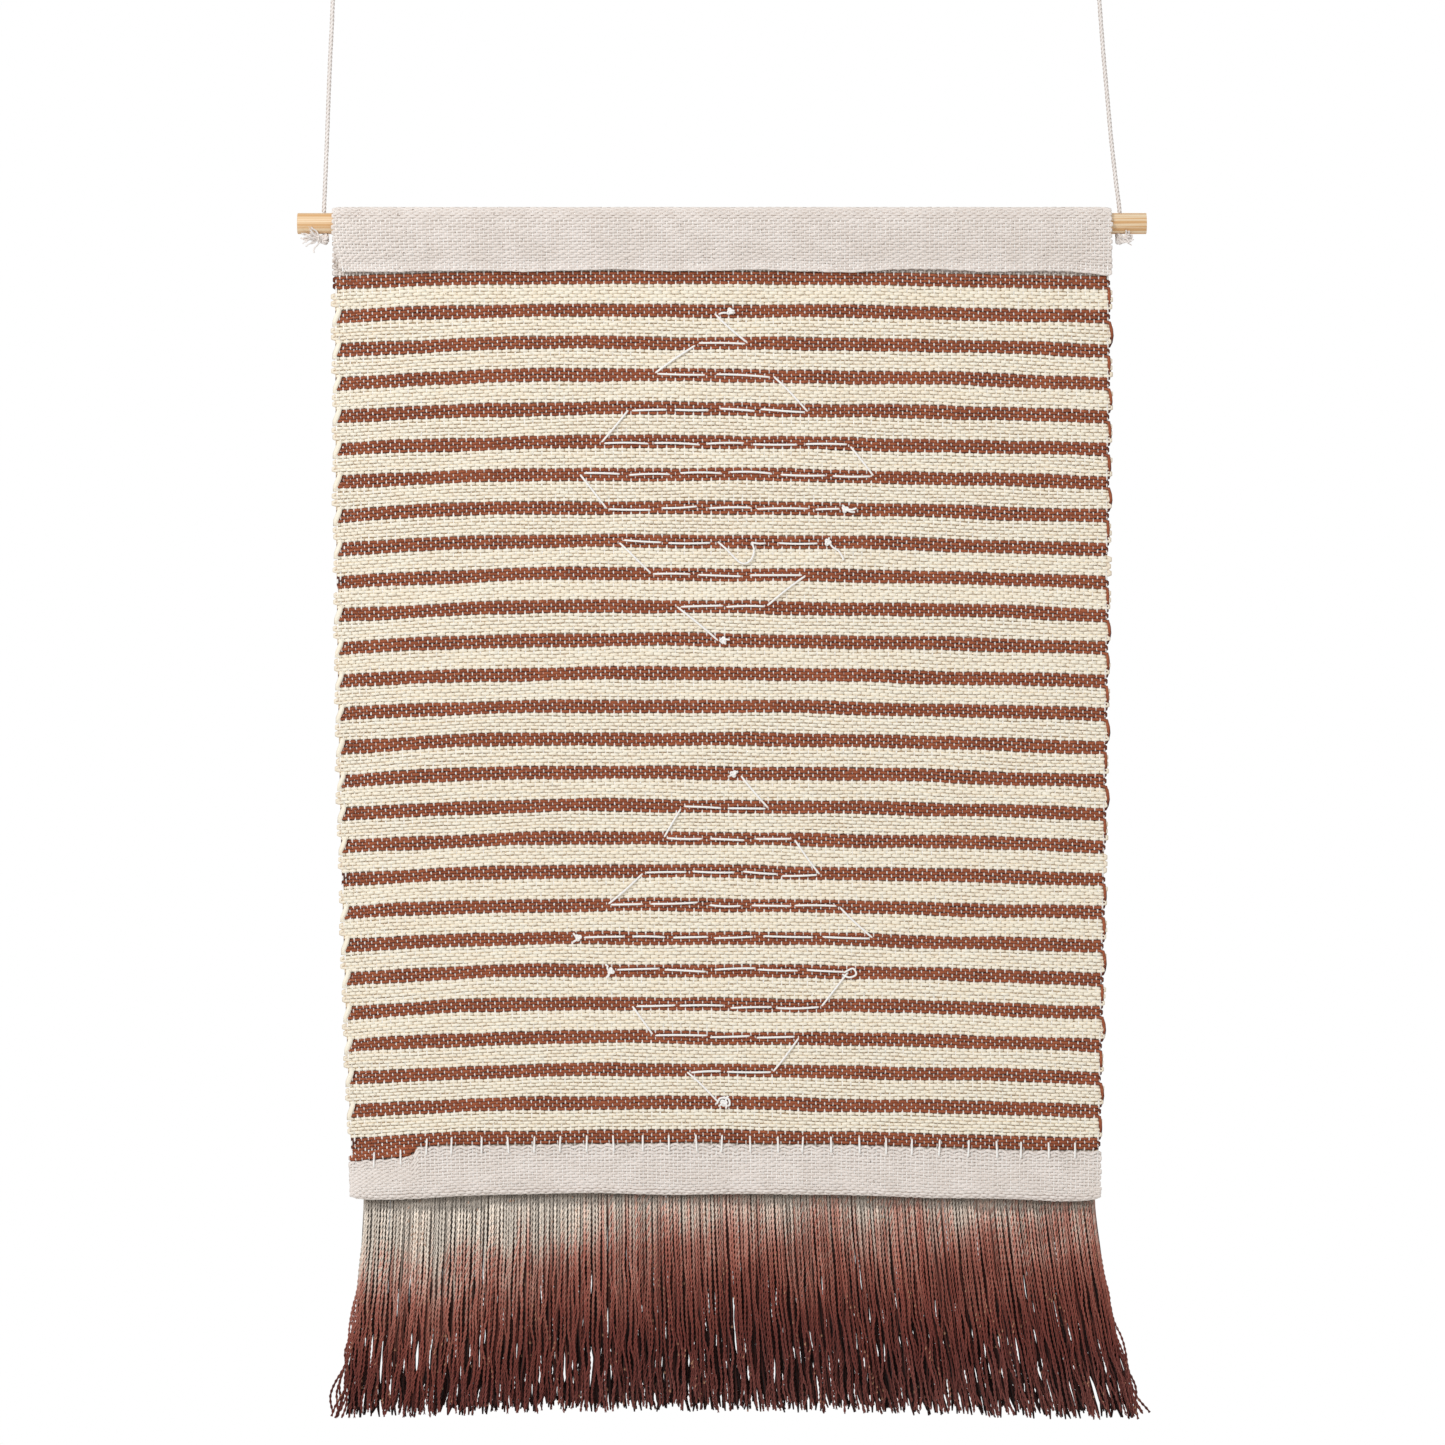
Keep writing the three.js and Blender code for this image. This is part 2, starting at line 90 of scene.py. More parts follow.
# %% [markdown]
# ## Yarn as a tube
#
# Every yarn here is a curve with a round section. A curve could stay a curve, but thousands of them
# are lighter as a few meshes, and a mesh can hold values of its own. So `tubes` draws the lines as one
# curve object, turns it into a mesh and notes for each point how far along its yarn it lies, and
# a random tone for the yarn, which the materials read.

# %% Section, lines and values of a tube
random = np.random.default_rng(7)


def section_ring(sides, radius):
    curve = bpy.data.curves.new("section", "CURVE")
    spline = curve.splines.new("POLY")
    spline.points.add(sides - 1)
    for i, point in enumerate(spline.points):
        angle = 2 * math.pi * i / sides
        point.co = (radius * math.cos(angle), radius * math.sin(angle), 0, 1)
    spline.use_cyclic_u = True
    ring = bpy.data.objects.new("section", curve)
    bpy.context.scene.collection.objects.link(ring)
    return ring


def add_line(curve, line, radii):
    spline = curve.splines.new("POLY")
    spline.points.add(len(line) - 1)
    spline.points.foreach_set("co", np.column_stack([line, np.ones(len(line))]).ravel())
    spline.points.foreach_set("radius", radii)


def along(line):
    """How far each point lies along its line, from 0 to 1."""
    run = np.concatenate([[0], np.cumsum(np.linalg.norm(np.diff(line, axis=0), axis=1))])
    return run / run[-1]


def note_on_points(mesh, lines, sides):
    """Each tube's points come ring by ring, then those of its two caps."""
    share, tone = [], []
    for line in lines:
        share += [np.repeat(along(line), sides), np.repeat([0.0, 1.0], sides)]
        tone.append(np.full((len(line) + 2) * sides, random.random()))
    for key, value in (("along", share), ("tone", tone)):
        mesh.attributes.new(key, "FLOAT", "POINT").data.foreach_set("value", np.concatenate(value))


def close_caps(mesh):
    """Joins the caps to their tubes, so that each yarn is one closed body."""
    shape = bmesh.new()
    shape.from_mesh(mesh)
    open_ends = [v for v in shape.verts if v.is_boundary]
    bmesh.ops.remove_doubles(shape, verts=open_ends, dist=1e-6)
    shape.to_mesh(mesh)
    shape.free()


# %% [markdown]
# ## From lines to one closed mesh
#
# A curve's bevel object gives the tubes their section. It leaves each cap loose from its tube, so the
# caps are joined on, and every yarn is one closed body.

# %% Tubes
def tubes(name, lines, radius, sides=5, thickness=None):
    """One mesh of tubes along the lines. thickness gives each line's share of radius at its points."""
    curve = bpy.data.curves.new(name, "CURVE")
    curve.dimensions = "3D"
    ring = section_ring(sides, radius)
    curve.bevel_mode = "OBJECT"
    curve.bevel_object = ring
    curve.use_fill_caps = True
    thickness = thickness or [np.ones(len(line)) for line in lines]
    for line, radii in zip(lines, thickness):
        add_line(curve, line, radii)
    drawn = bpy.data.objects.new(name, curve)
    bpy.context.scene.collection.objects.link(drawn)
    bpy.context.view_layer.update()
    mesh = bpy.data.meshes.new_from_object(drawn.evaluated_get(bpy.context.evaluated_depsgraph_get()))
    for made in (drawn, ring):
        bpy.data.objects.remove(made)
    mesh.name = name
    note_on_points(mesh, lines, sides)
    close_caps(mesh)
    mesh.shade_smooth()
    piece = bpy.data.objects.new(name, mesh)
    bpy.context.scene.collection.objects.link(piece)
    print(f"{name}: {len(lines)} lines, {sum(len(p.vertices) - 2 for p in mesh.polygons)} triangles")
    return piece


# %% [markdown]
# ## Smooth routes and twisted plies
#
# A yarn never has a corner, and its plies wind round each other. Drawing every bend by hand would take
# thousands of points, so three helpers do it: `smooth` rounds a route given by a few points, `spaced`
# evens out its steps, and `plies` winds lines round it.

# %% Lines: smooth routes and twisted plies
def smooth(points, per_span):
    """A Catmull-Rom curve through the points, as a line with per_span points in each span."""
    p = np.array(points, float)
    p = np.vstack([2 * p[0] - p[1], p, 2 * p[-1] - p[-2]])
    t = np.linspace(0, 1, per_span, endpoint=False)[:, None]
    spans = []
    for a, b, c, d in zip(p, p[1:], p[2:], p[3:]):
        spans.append(0.5 * (2 * b + (c - a) * t + (2 * a - 5 * b + 4 * c - d) * t ** 2
                            + (3 * b - a - 3 * c + d) * t ** 3))
    return np.vstack(spans + [p[-2:-1]])


def spaced(line, step):
    """The same line with its points an even step apart."""
    length = np.linalg.norm(np.diff(line, axis=0), axis=1).sum()
    at = np.linspace(0, 1, max(3, round(length / step) + 1))
    run = along(line)
    return np.column_stack([np.interp(at, run, line[:, k]) for k in range(3)])


def plies(line, count, radius, lay, per_turn, turned=0.0):
    """Lines that twist round a line, as the plies of a yarn do. lay is the length of one turn."""
    path = spaced(line, lay / per_turn)
    tangent = np.gradient(path, axis=0)
    tangent /= np.linalg.norm(tangent, axis=1)[:, None]
    side = np.array([0, 1, 0]) - tangent * tangent[:, 1:2]
    side /= np.linalg.norm(side, axis=1)[:, None]
    across = np.cross(tangent, side)
    twisted = []
    for ply in range(count):
        angle = 2 * math.pi * (np.arange(len(path)) / per_turn + ply / count) + turned
        twisted.append(path + radius * (np.cos(angle)[:, None] * side + np.sin(angle)[:, None] * across))
    return twisted


# %% [markdown]
# ## Hanging cord
#
# A thin cotton cord of three plies goes up through a hole at each end of the dowel and over two wall
# pegs, with a stopper knot under each hole. A single smooth tube would look like wire, so the cord is
# three plies twisted round one route. The route is listed in millimetres, and it's taut because
# the dowel hangs on it.

# %% Cord
CORD_DIAMETER = 2.5 * MM
CORD_ROUTE_MM = [
    (-227.5, -146), (-227.5, -139), (-227.3, -130), (-226.7, -116), (-225.7, -92), (-224.8, -68),
    (-223.9, -46), (-222.9, -26), (-222.2, -11), (-220.7, -5.5), (-216.7, -1.5), (-211.2, 0),
    (-185, 0), (-145, 0), (-105, 0), (-60, 0), (-20, 0), (20, 0), (60, 0), (105, 0), (145, 0),
    (180, 0), (204.4, 0), (209.9, -1.5), (213.9, -5.5), (215.4, -11), (216.6, -26), (218.2, -46),
    (220.2, -68), (222.4, -92), (225.1, -116), (226.9, -130), (227.5, -139), (227.5, -146),
]
CORD_LAY = 7 * MM
CORD_PLY_R = 0.26 * CORD_DIAMETER

cord_route = smooth([(x * MM, 0, z * MM) for x, z in CORD_ROUTE_MM], 8)
cord = tubes("twisted_cord", plies(cord_route, 3, CORD_PLY_R, CORD_LAY, 7), CORD_PLY_R, sides=6)
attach(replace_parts(cord, "hanging_cord"), "rod")

# %% [markdown]
# ## How the cloth hangs
#
# A handwoven cloth is never quite level. Its picks rise a little left of the middle and sag towards
# both selvedges, the edges draw in towards the hem, and uneven beating makes the bands swell and
# thin. All of that is one function from a flat place on the cloth to where it hangs, so that the
# warp, the picks and the stitches agree.

# %% Hanging shape
dowel_low, dowel_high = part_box("dowel")
DOWEL_R = (dowel_high.z - dowel_low.z) / 2
AXIS_Z = (dowel_high.z + dowel_low.z) / 2
HALF_WIDTH = 221 * MM
SLEEVE_BOTTOM = 28 * MM
HEM_BOTTOM = 556.5 * MM
LEFT_TAPER, RIGHT_TAPER = 10.5 * MM, 6.5 * MM
CLOTH_Y = 0.5 * MM
PEAK_X = -70 * MM
WAVE_RISE, WAVE_SAG = 2.2 * MM, 5.0 * MM
SLEEVE_WAVE = 0.6
SLEEVE_WAVE_TOP, SLEEVE_WAVE_REACH, FULL_WAVE_REACH = 12 * MM, 16 * MM, 56.7 * MM
BEAT = 0.24 * MM


def wave(x):
    """How far a pick stands above its level: most at PEAK_X, and below it at both selvedges."""
    span = np.where(x < PEAK_X, HALF_WIDTH + PEAK_X, HALF_WIDTH - PEAK_X)
    return WAVE_RISE - WAVE_SAG * ((x - PEAK_X) / span) ** 2


def wave_share(depth):
    """The dowel holds the top straight: the wave sets in below it and is full some way under the sleeve."""
    at_sleeve = np.clip((depth - SLEEVE_WAVE_TOP) / SLEEVE_WAVE_REACH, 0, 1)
    below = np.clip((depth - SLEEVE_BOTTOM) / FULL_WAVE_REACH, 0, 1)
    return SLEEVE_WAVE * at_sleeve + (1 - SLEEVE_WAVE) * below


def uneven_beat(x, depth):
    """How far the beating has pushed the picks up or down, about half a millimetre."""
    fade = np.clip((depth - 20 * MM) / (30 * MM), 0, 1)
    swell = (np.sin(x / 0.021 + 9 * depth / 0.1) + np.sin(x / 0.034 - 5 * depth / 0.1 + 2)
             + 0.7 * np.sin(x / 0.0125 + 17 * depth / 0.1 + 1) + 0.8 * np.sin(depth / 0.011))
    return BEAT * swell * fade


def hung(x, depth):
    """(x, z) where a point of the flat cloth hangs."""
    down = np.clip(depth / HEM_BOTTOM, 0, 1)
    drawn_in = np.where(x < 0, LEFT_TAPER * down ** 2.5, RIGHT_TAPER * down ** 2)
    z = AXIS_Z - depth + wave(x) * wave_share(depth) + uneven_beat(x, depth)
    return x * (1 - drawn_in / HALF_WIDTH), z


print(f"dowel axis at z {AXIS_Z:.3f}, radius {DOWEL_R * 1000:.1f} mm")

# %% [markdown]
# ## Warp
#
# The warp ends stand 2.5 mm apart, a little closer at the left edge. A weft yarn passes in front of
# one end and behind the next, and the following pick does the opposite. `WARP_X` holds the ends, and
# `crossings` gives the points that a pick goes through: two in front of an end, which makes the flat
# top of a pillow, and one behind the next.

# %% Warp ends and crossings
CLOSE_ENDS, CLOSE_PITCH = 8, 1.95 * MM
WARP_PITCH = 2.546 * MM
EDGE = 0.6 * MM
WARP_ENDS = 1 + CLOSE_ENDS + round((2 * (HALF_WIDTH - EDGE) - CLOSE_ENDS * CLOSE_PITCH) / WARP_PITCH)
pitches = np.where(np.arange(WARP_ENDS - 1) < CLOSE_ENDS, CLOSE_PITCH, WARP_PITCH)
WARP_X = -HALF_WIDTH + EDGE + np.concatenate([[0], np.cumsum(pitches)])
warp_phase = random.uniform(0, 2 * math.pi, WARP_ENDS)
warp_stray = random.uniform(0.1, 0.3, WARP_ENDS) * MM


def warp_at(depth, ends=slice(None)):
    """Where the ends stand at a depth: each strays a little as it goes down."""
    return WARP_X[ends] + warp_stray[ends] * np.sin(depth / (23 * MM) + warp_phase[ends])


def crossings(depth, parity, hug):
    """(x, side) for one pick: side is 1 in front of an end and -1 behind it. hug is the share of the
    way to the next end over which the pick stays in front."""
    x = warp_at(depth)
    front = np.arange(WARP_ENDS) % 2 == parity
    reach = hug * np.concatenate([pitches[:1], pitches])[front]
    places = np.concatenate([x[front] - reach, x[front] + reach, x[~front]])
    sides = np.concatenate([np.ones(2 * front.sum()), -np.ones((~front).sum())])
    order = np.argsort(places)
    return places[order], sides[order]


print(WARP_ENDS, "warp ends")

# %% [markdown]
# ## Laying the picks
#
# A weft yarn is one long snake: across, round the edge, and back. `snake` takes a list of picks and
# lays them as one line, with a turn at each selvedge. Where the yarn passes the other colour it is
# carried along the edge, and `carry` adds that stretch. `place` turns (x, depth, lift) into a point:
# flat for the striped field and folded for the sleeve and the hem.

# %% Picks
def pick(depth, parity, place, lift, ends, rng, hug):
    """One pick from its left end to its right one, before it is turned round."""
    x, side = crossings(depth, parity, hug)
    inside = (x > ends[0]) & (x < ends[1])
    x, side = x[inside], side[inside]
    a, b = rng.uniform(0, 2 * math.pi, 2)
    wander = 0.14 * MM * (np.sin(x / 0.006 + a) + np.sin(x / 0.0023 + b))
    heights = lift * (side * rng.uniform(0.88, 1.06, len(x)))
    uneven = (1 + 0.06 * np.sin(x / 0.013 + b)) * rng.uniform(0.9, 1.1, len(x))
    return place(x, depth + wander, heights), np.where(side > 0, 1.0, 0.8) * uneven


def turn(depth, next_depth, side, edge, bulge, place):
    """The half turn that a yarn makes at a selvedge, from one pick to the next."""
    reach = np.array([0.3, 0.9, 0.9, 0.3]) * bulge
    down = np.array([0, 0.2, 0.8, 1.0])
    return place(edge + side * reach, depth + (next_depth - depth) * down, np.zeros(4))


def snake(depths, parities, place, lift, ends, bulge, rng, rightwards=True, carry=None, hug=0.67):
    """All the picks of one yarn as one line. ends gives each pick's (left, right) edges."""
    points, radii = [], []
    for i, (depth, parity) in enumerate(zip(depths, parities)):
        line, radius = pick(depth, parity, place, lift, ends[i], rng, hug)
        if not rightwards:
            line, radius = line[::-1], radius[::-1]
        points.append(line)
        radii.append(radius)
        if i + 1 < len(depths):
            side = 1 if rightwards else -1
            edge = (ends[i][1] if rightwards else ends[i][0])
            if carry and depths[i + 1] - depth > 2 * abs(depths[1] - depths[0]):
                bend = carry(depth, depths[i + 1])
                carried = 1.6 if side < 0 else 1.05
            else:
                bend = turn(depth, depths[i + 1], side, edge, bulge * rng.uniform(0.6, 1.3), place)
                carried = 1.0
            points.append(bend)
            radii.append(np.full(len(bend), carried))
            rightwards = not rightwards
    return np.vstack(points), np.concatenate(radii)


def field_place(x, depth, lift):
    """A place on the striped field. lift is towards the viewer."""
    hung_x, z = hung(x, depth)
    return np.column_stack([hung_x, np.full(len(x), CLOTH_Y) - lift, z])


# %% [markdown]
# ## Striped field
#
# Terracotta bands of four picks stand in cream bands of six. The terracotta is carried up the right
# selvedge and the cream up the left one, so each colour is one unbroken yarn; here each is cut in
# three lengths so that no mesh gets too heavy. The upper picks of a terracotta band stop short at the
# left, and the carried cream fills the corner, which gives the band its wedge-shaped end.

# %% Bands
STRIPES = 27
STRIPE_PITCH = 18.9 * MM
FIRST_STRIPE = 32.2 * MM
TERRACOTTA_PICKS, TERRACOTTA_PITCH = 4, 1.8 * MM
CREAM_PICKS, CREAM_PITCH = 6, 1.93 * MM
WEFT_R = 1.02 * MM
WEFT_LIFT = 0.6 * MM
WEDGE = [4.0 * MM, 2.9 * MM, 1.6 * MM, 0.4 * MM]
LENGTHS = 3


def stripe_depth(k):
    return FIRST_STRIPE + STRIPE_PITCH * k


def band_picks(k, picks, pitch):
    """Depths of a band's picks from the top. k + 0.5 is the cream band under stripe k."""
    return [stripe_depth(k) + pitch * (i - (picks - 1) / 2) for i in range(picks)]


def pick_number(k, picks_above):
    """Counts the picks from the top, which says in front of which warp ends a pick goes."""
    return int(k + 0.5) * CREAM_PICKS + math.ceil(k) * TERRACOTTA_PICKS + picks_above


def carry_right(depth, next_depth):
    """Terracotta carried past a cream band, outside its rounded right end."""
    at = np.array([0.04, 0.3, 0.55, 0.8, 0.97])
    snug = 0.55 + 0.4 * math.sin(depth / (7 * MM))
    x = HALF_WIDTH + snug * np.array([0.6, 1.7, 2.1, 1.5, 0.4]) * MM
    return field_place(x, depth + (next_depth - depth) * at, np.array([0.5, 0.7, 0.2, -0.3, -0.2]) * MM)


def carry_left(depth, next_depth):
    """Cream carried past a terracotta band, slanting over its short upper picks."""
    at = np.array([0.05, 0.25, 0.5, 0.75, 0.95])
    x = -HALF_WIDTH + np.array([2.3, 1.9, 0.9, -0.1, -0.5]) * MM
    return field_place(x, depth + (next_depth - depth) * at, np.array([0.9, 1.0, 0.8, 0.4, 0.0]) * MM)


def lay_bands(name, first, last, picks, pitch, half, edges, bulge, carry, node):
    rng = np.random.default_rng(int(first * 10) + picks)
    depths, parities, ends = [], [], []
    for k in range(first, last):
        for i, depth in enumerate(band_picks(k + half, picks, pitch)):
            depths.append(depth)
            parities.append(pick_number(k + half, i) % 2)
            ends.append(edges(k, i))
    rightwards = picks == CREAM_PICKS
    line, radii = snake(depths, parities, field_place, WEFT_LIFT, ends, bulge, rng, rightwards, carry)
    piece = tubes(name, [line], WEFT_R, thickness=[radii])
    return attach(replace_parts(piece, node), "cloth")


def terracotta_edges(k, i):
    return (-HALF_WIDTH + (WEDGE[i] if k else 0), HALF_WIDTH - 0.8 * MM)


def cream_edges(k, i):
    return (-HALF_WIDTH, HALF_WIDTH)


# %% [markdown]
# ## Both colours, length by length
#
# Laying the bands is the same for both colours: only the picks, the edges and the side on which the
# yarn is carried differ. So `lay_bands` is called with those values, for each of the three lengths.

# %% Terracotta and cream weft
def lay_field():
    terracotta, cream = [], []
    for part in range(LENGTHS):
        first, last = STRIPES * part // LENGTHS, STRIPES * (part + 1) // LENGTHS
        terracotta.append(lay_bands(f"terracotta_weft_{part + 1}", first, last, TERRACOTTA_PICKS,
                                    TERRACOTTA_PITCH, 0, terracotta_edges, 0.9 * MM, carry_right,
                                    "terracotta_weft"))
        cream.append(lay_bands(f"cream_weft_{part + 1}", first, min(last, STRIPES - 1), CREAM_PICKS,
                               CREAM_PITCH, 0.5, cream_edges, 1.6 * MM, carry_left,
                               "cream_weft"))
    return terracotta, cream


terracotta_weft, cream_weft = lay_field()

# %% [markdown]
# ## Sleeve
#
# At the top the cloth, woven here in undyed greige yarn, comes up behind the dowel, goes over it and
# comes down the front as a flap that is sewn to the cloth. `folded` makes a `place` for cloth that
# follows a bent profile: a distance along the profile takes the place of the depth, and lift goes
# outwards from the profile.

# %% Cloth along a bent profile
GREIGE_PITCH = 1.65 * MM
GREIGE_R = 0.9 * MM
GREIGE_LIFT = 0.55 * MM


class Profile:
    """A line of (y, depth) points, sampled evenly, with the side that faces outwards."""

    def __init__(self, points):
        fine = smooth([(0, y, depth) for y, depth in points], 12)
        self.line = spaced(fine, 0.2 * MM)[:, 1:]
        steps = np.linalg.norm(np.diff(self.line, axis=0), axis=1)
        self.run = np.concatenate([[0], np.cumsum(steps)])
        self.length = self.run[-1]
        tangent = np.gradient(self.line, axis=0)
        tangent /= np.linalg.norm(tangent, axis=1)[:, None]
        self.out = np.column_stack([tangent[:, 1], tangent[:, 0]])

    def at(self, run):
        y, depth = (np.interp(run, self.run, self.line[:, k]) for k in (0, 1))
        out_y, out_z = (np.interp(run, self.run, self.out[:, k]) for k in (0, 1))
        return y, depth, out_y, out_z


def folded(profile, shift):
    """A place along a profile. shift gives how far a point of it is moved in x and in depth."""
    def place(x, run, lift):
        y, depth, out_y, out_z = profile.at(run)
        dx, down = shift(x, run)
        hung_x, z = hung(x + dx, depth + down)
        return np.column_stack([hung_x, y + lift * out_y, z + lift * out_z])
    return place


def ramp(x, low, high):
    """0 below low, 1 above high and smooth between them."""
    t = np.clip((x - low) / (high - low), 0, 1)
    return t * t * (3 - 2 * t)


def weave(name, place, runs, lift, radius, edge, bulge, seed, node):
    rng = np.random.default_rng(seed)
    ends = [(-edge, edge)] * len(runs)
    parities = [i % 2 for i in range(len(runs))]
    line, radii = snake(runs, parities, place, lift, ends, bulge, rng, hug=0.45)
    piece = tubes(name, [line], radius, thickness=[radii])
    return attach(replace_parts(piece, node), "cloth")


# %% [markdown]
# ## Sleeve over the dowel
#
# The sleeve's profile starts at the flap's lower edge, goes up and over the dowel and ends behind it,
# where the striped field begins. It is given by a few points and a half circle round the dowel. The
# flap is pressed to the cloth where it is sewn, and its left edge slants.

# %% Sleeve over the dowel
FLAP_Y = -3.7 * MM
LOOP_R = DOWEL_R + 2.1 * MM
PRESSED_Y = -2.5 * MM
arc = [(-LOOP_R * math.cos(a), -LOOP_R * math.sin(a)) for a in np.linspace(0, math.pi, 9)]
sleeve_profile = Profile(
    [(PRESSED_Y, SLEEVE_BOTTOM), (-2.7 * MM, 24 * MM), (-4.6 * MM, 18.5 * MM), (-7.2 * MM, 9 * MM)] + arc
    + [(6.3 * MM, 9 * MM), (2.4 * MM, 18.5 * MM), (CLOTH_Y, 24 * MM), (CLOTH_Y, SLEEVE_BOTTOM)])


def sleeve_shift(x, run):
    """The flap's left edge slants inwards, and its lower edge is lifted here and there."""
    low = 1 - ramp(run, 0, 24 * MM)
    inwards = 4 * MM * low * np.exp(-(x + HALF_WIDTH) / (35 * MM))
    at_right = 1.5 * MM * ramp(x, 70 * MM, 120 * MM) * (1 - ramp(x, 185 * MM, 222 * MM))
    at_left = 1.6 * MM * (1 - ramp(x, -205 * MM, -150 * MM))
    all_along = 0.5 * MM * np.sin(x / (14 * MM))
    lifted = at_right + at_left + all_along
    return inwards, -lifted * (1 - ramp(run, 0, 14 * MM))


sleeve_place = folded(sleeve_profile, sleeve_shift)
sleeve_runs = np.arange(0.6 * MM, sleeve_profile.length, GREIGE_PITCH)
sleeve = weave("greige_sleeve", sleeve_place, list(sleeve_runs), GREIGE_LIFT, GREIGE_R,
               HALF_WIDTH, 1.2 * MM, 21, "rod_sleeve")


# %% [markdown]
# ## Hem
#
# The bottom of the cloth is the same greige. It is folded to the front, up over the last stripe, and
# whipped down with white thread, which pulls the edge into scallops. At the left the flap starts
# lower, under a short extra turn of terracotta.

# %% Hem
HEM_TOP = 527.6 * MM
FOLD_R = (CLOTH_Y - FLAP_Y) / 2
TURN_DEPTH = HEM_BOTTOM - 1.2 * MM - FOLD_R
SCALLOP_PITCH = 8 * MM
SHORT_ROWS_END = -183 * MM
bottom_arc = [(CLOTH_Y - FOLD_R + FOLD_R * math.cos(a), TURN_DEPTH + FOLD_R * math.sin(a))
              for a in np.linspace(0, math.pi, 7)]
hem_profile = Profile([(CLOTH_Y, HEM_TOP), (CLOTH_Y, 540 * MM)] + bottom_arc
                      + [(FLAP_Y, 540 * MM), (PRESSED_Y - 0.3 * MM, HEM_TOP + 1.2 * MM)])


def hem_shift(x, run):
    from_edge = hem_profile.length - run
    near_edge = 1 - ramp(from_edge, 0, 7 * MM)
    scallop = 2.6 * MM * (np.abs(np.sin(math.pi * x / SCALLOP_PITCH)) ** 0.6 - 0.5)
    dropped = 5.2 * MM * (1 - ramp(x, SHORT_ROWS_END - 2 * MM, SHORT_ROWS_END + 2 * MM))
    flap = 1 - ramp(from_edge, 0, 22 * MM)
    corner = 2.2 * MM * np.exp(-np.minimum(x + HALF_WIDTH, HALF_WIDTH - x) / (9 * MM))
    low = ramp(run, 18 * MM, 27 * MM) * (1 - ramp(run, 30 * MM, 40 * MM))
    return 0 * x, dropped * flap - scallop * near_edge - corner * low


hem_place = folded(hem_profile, hem_shift)
hem_runs = list(np.arange(0.8 * MM, hem_profile.length, GREIGE_PITCH))
hem = weave("greige_hem", hem_place, hem_runs, GREIGE_LIFT, GREIGE_R, HALF_WIDTH, 1.3 * MM, 22,
            "hem_fold")

# %% [markdown]
# ## Short rows
#
# Above the hem's left end there are three short picks more, perhaps to level the cloth. They are laid
# like any other band, only a little nearer to the viewer, because the hem's cloth runs behind them.

# %% Short terracotta rows above the hem's left end
last_pick = band_picks(STRIPES - 1, TERRACOTTA_PICKS, TERRACOTTA_PITCH)[-1]
SHORT_DEPTHS = [last_pick + TERRACOTTA_PITCH * (i + 1) for i in range(3)]
SHORT_PARITIES = [0, 1, 0]
SHORT_LIFT = 1.2 * MM


def lay_short_rows():
    rng = np.random.default_rng(5)
    edges = [(-HALF_WIDTH + 1 * MM, SHORT_ROWS_END - i * 1.5 * MM) for i in range(3)]

    def raised_place(x, depth, lift):
        return field_place(x, depth, lift + SHORT_LIFT)

    line, radii = snake(SHORT_DEPTHS, SHORT_PARITIES, raised_place, WEFT_LIFT, edges, 1.2 * MM, rng)
    piece = tubes("terracotta_short_rows", [line], WEFT_R, thickness=[radii])
    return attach(piece, "cloth")


short_rows = lay_short_rows()

# %% [markdown]
# ## Warp ends
#
# The warp runs unbroken through the sleeve, the striped field and the hem. It only shows where it
# comes to the front over a terracotta pick, so that is where its line gets a point for each pick.
# The cream bands hide it, and there it runs straight.

# %% Warp
WARP_R = 0.6 * MM
WARP_LIFT = 0.9 * MM
SLEEVE_POINTS, HEM_POINTS = 15, 11
FOLD_DEPTH = 20 * MM
FOLD_END = 0.3 * MM
BELOW_SHORT_ROWS = 6 * MM


def through_fold(end, place, profile, begins, count):
    """A warp end inside folded greige cloth, which hides it."""
    x = warp_at(FOLD_DEPTH, np.array([end]))
    return [place(x, np.array([run]), np.zeros(1))
            for run in np.linspace(begins, profile.length - FOLD_END, count)]


def past_pick(end, depth, parity, raised=0.0):
    """A warp end in front of a pick or behind it."""
    lift = -WARP_LIFT if end % 2 == parity else WARP_LIFT
    return field_place(warp_at(depth, np.array([end])), np.array([depth]), np.array([raised + lift]))


def warp_line(end):
    in_short_rows = WARP_X[end] < SHORT_ROWS_END - 4 * MM
    points = through_fold(end, sleeve_place, sleeve_profile, FOLD_END, SLEEVE_POINTS)
    for k in range(STRIPES):
        for i, depth in enumerate(band_picks(k, TERRACOTTA_PICKS, TERRACOTTA_PITCH)):
            points.append(past_pick(end, depth, pick_number(k, i) % 2))
    if in_short_rows:
        for depth, parity in zip(SHORT_DEPTHS, SHORT_PARITIES):
            points.append(past_pick(end, depth, parity, SHORT_LIFT))
    begins = BELOW_SHORT_ROWS if in_short_rows else FOLD_END
    return np.vstack(points + through_fold(end, hem_place, hem_profile, begins, HEM_POINTS))


warp = tubes("warp_ends", [warp_line(end) for end in range(WARP_ENDS)], WARP_R, sides=4)
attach(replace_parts(warp, "warp_threads"), "cloth")
CLOTH_LENGTH = (sleeve_profile.length + HEM_TOP - SLEEVE_BOTTOM + hem_profile.length)
print(f"cloth cut to {2 * HALF_WIDTH:.3f} by {CLOTH_LENGTH:.3f} m")

# %% [markdown]
# ## Ground of the cloth
#
# Spun cotton is hairy, and the hairs between the yarns make a handwoven cloth opaque. Bare tubes let
# light through every gap, so a thin surface stands for those felted hairs in the middle of the cloth,
# and its darker tone is painted shade in the gaps. It isn't a separate cloth on the real piece. It
# starts as the flat cut, one grid of the cloth's full width and length, and each point goes through
# the same `place` as the yarns. So it is also the piece whose area can be compared with the cut.
# `band` notes the colour of the yarn over each point.

# %% Ground
GROUND_COLUMNS, GROUND_ROWS = 40, 700


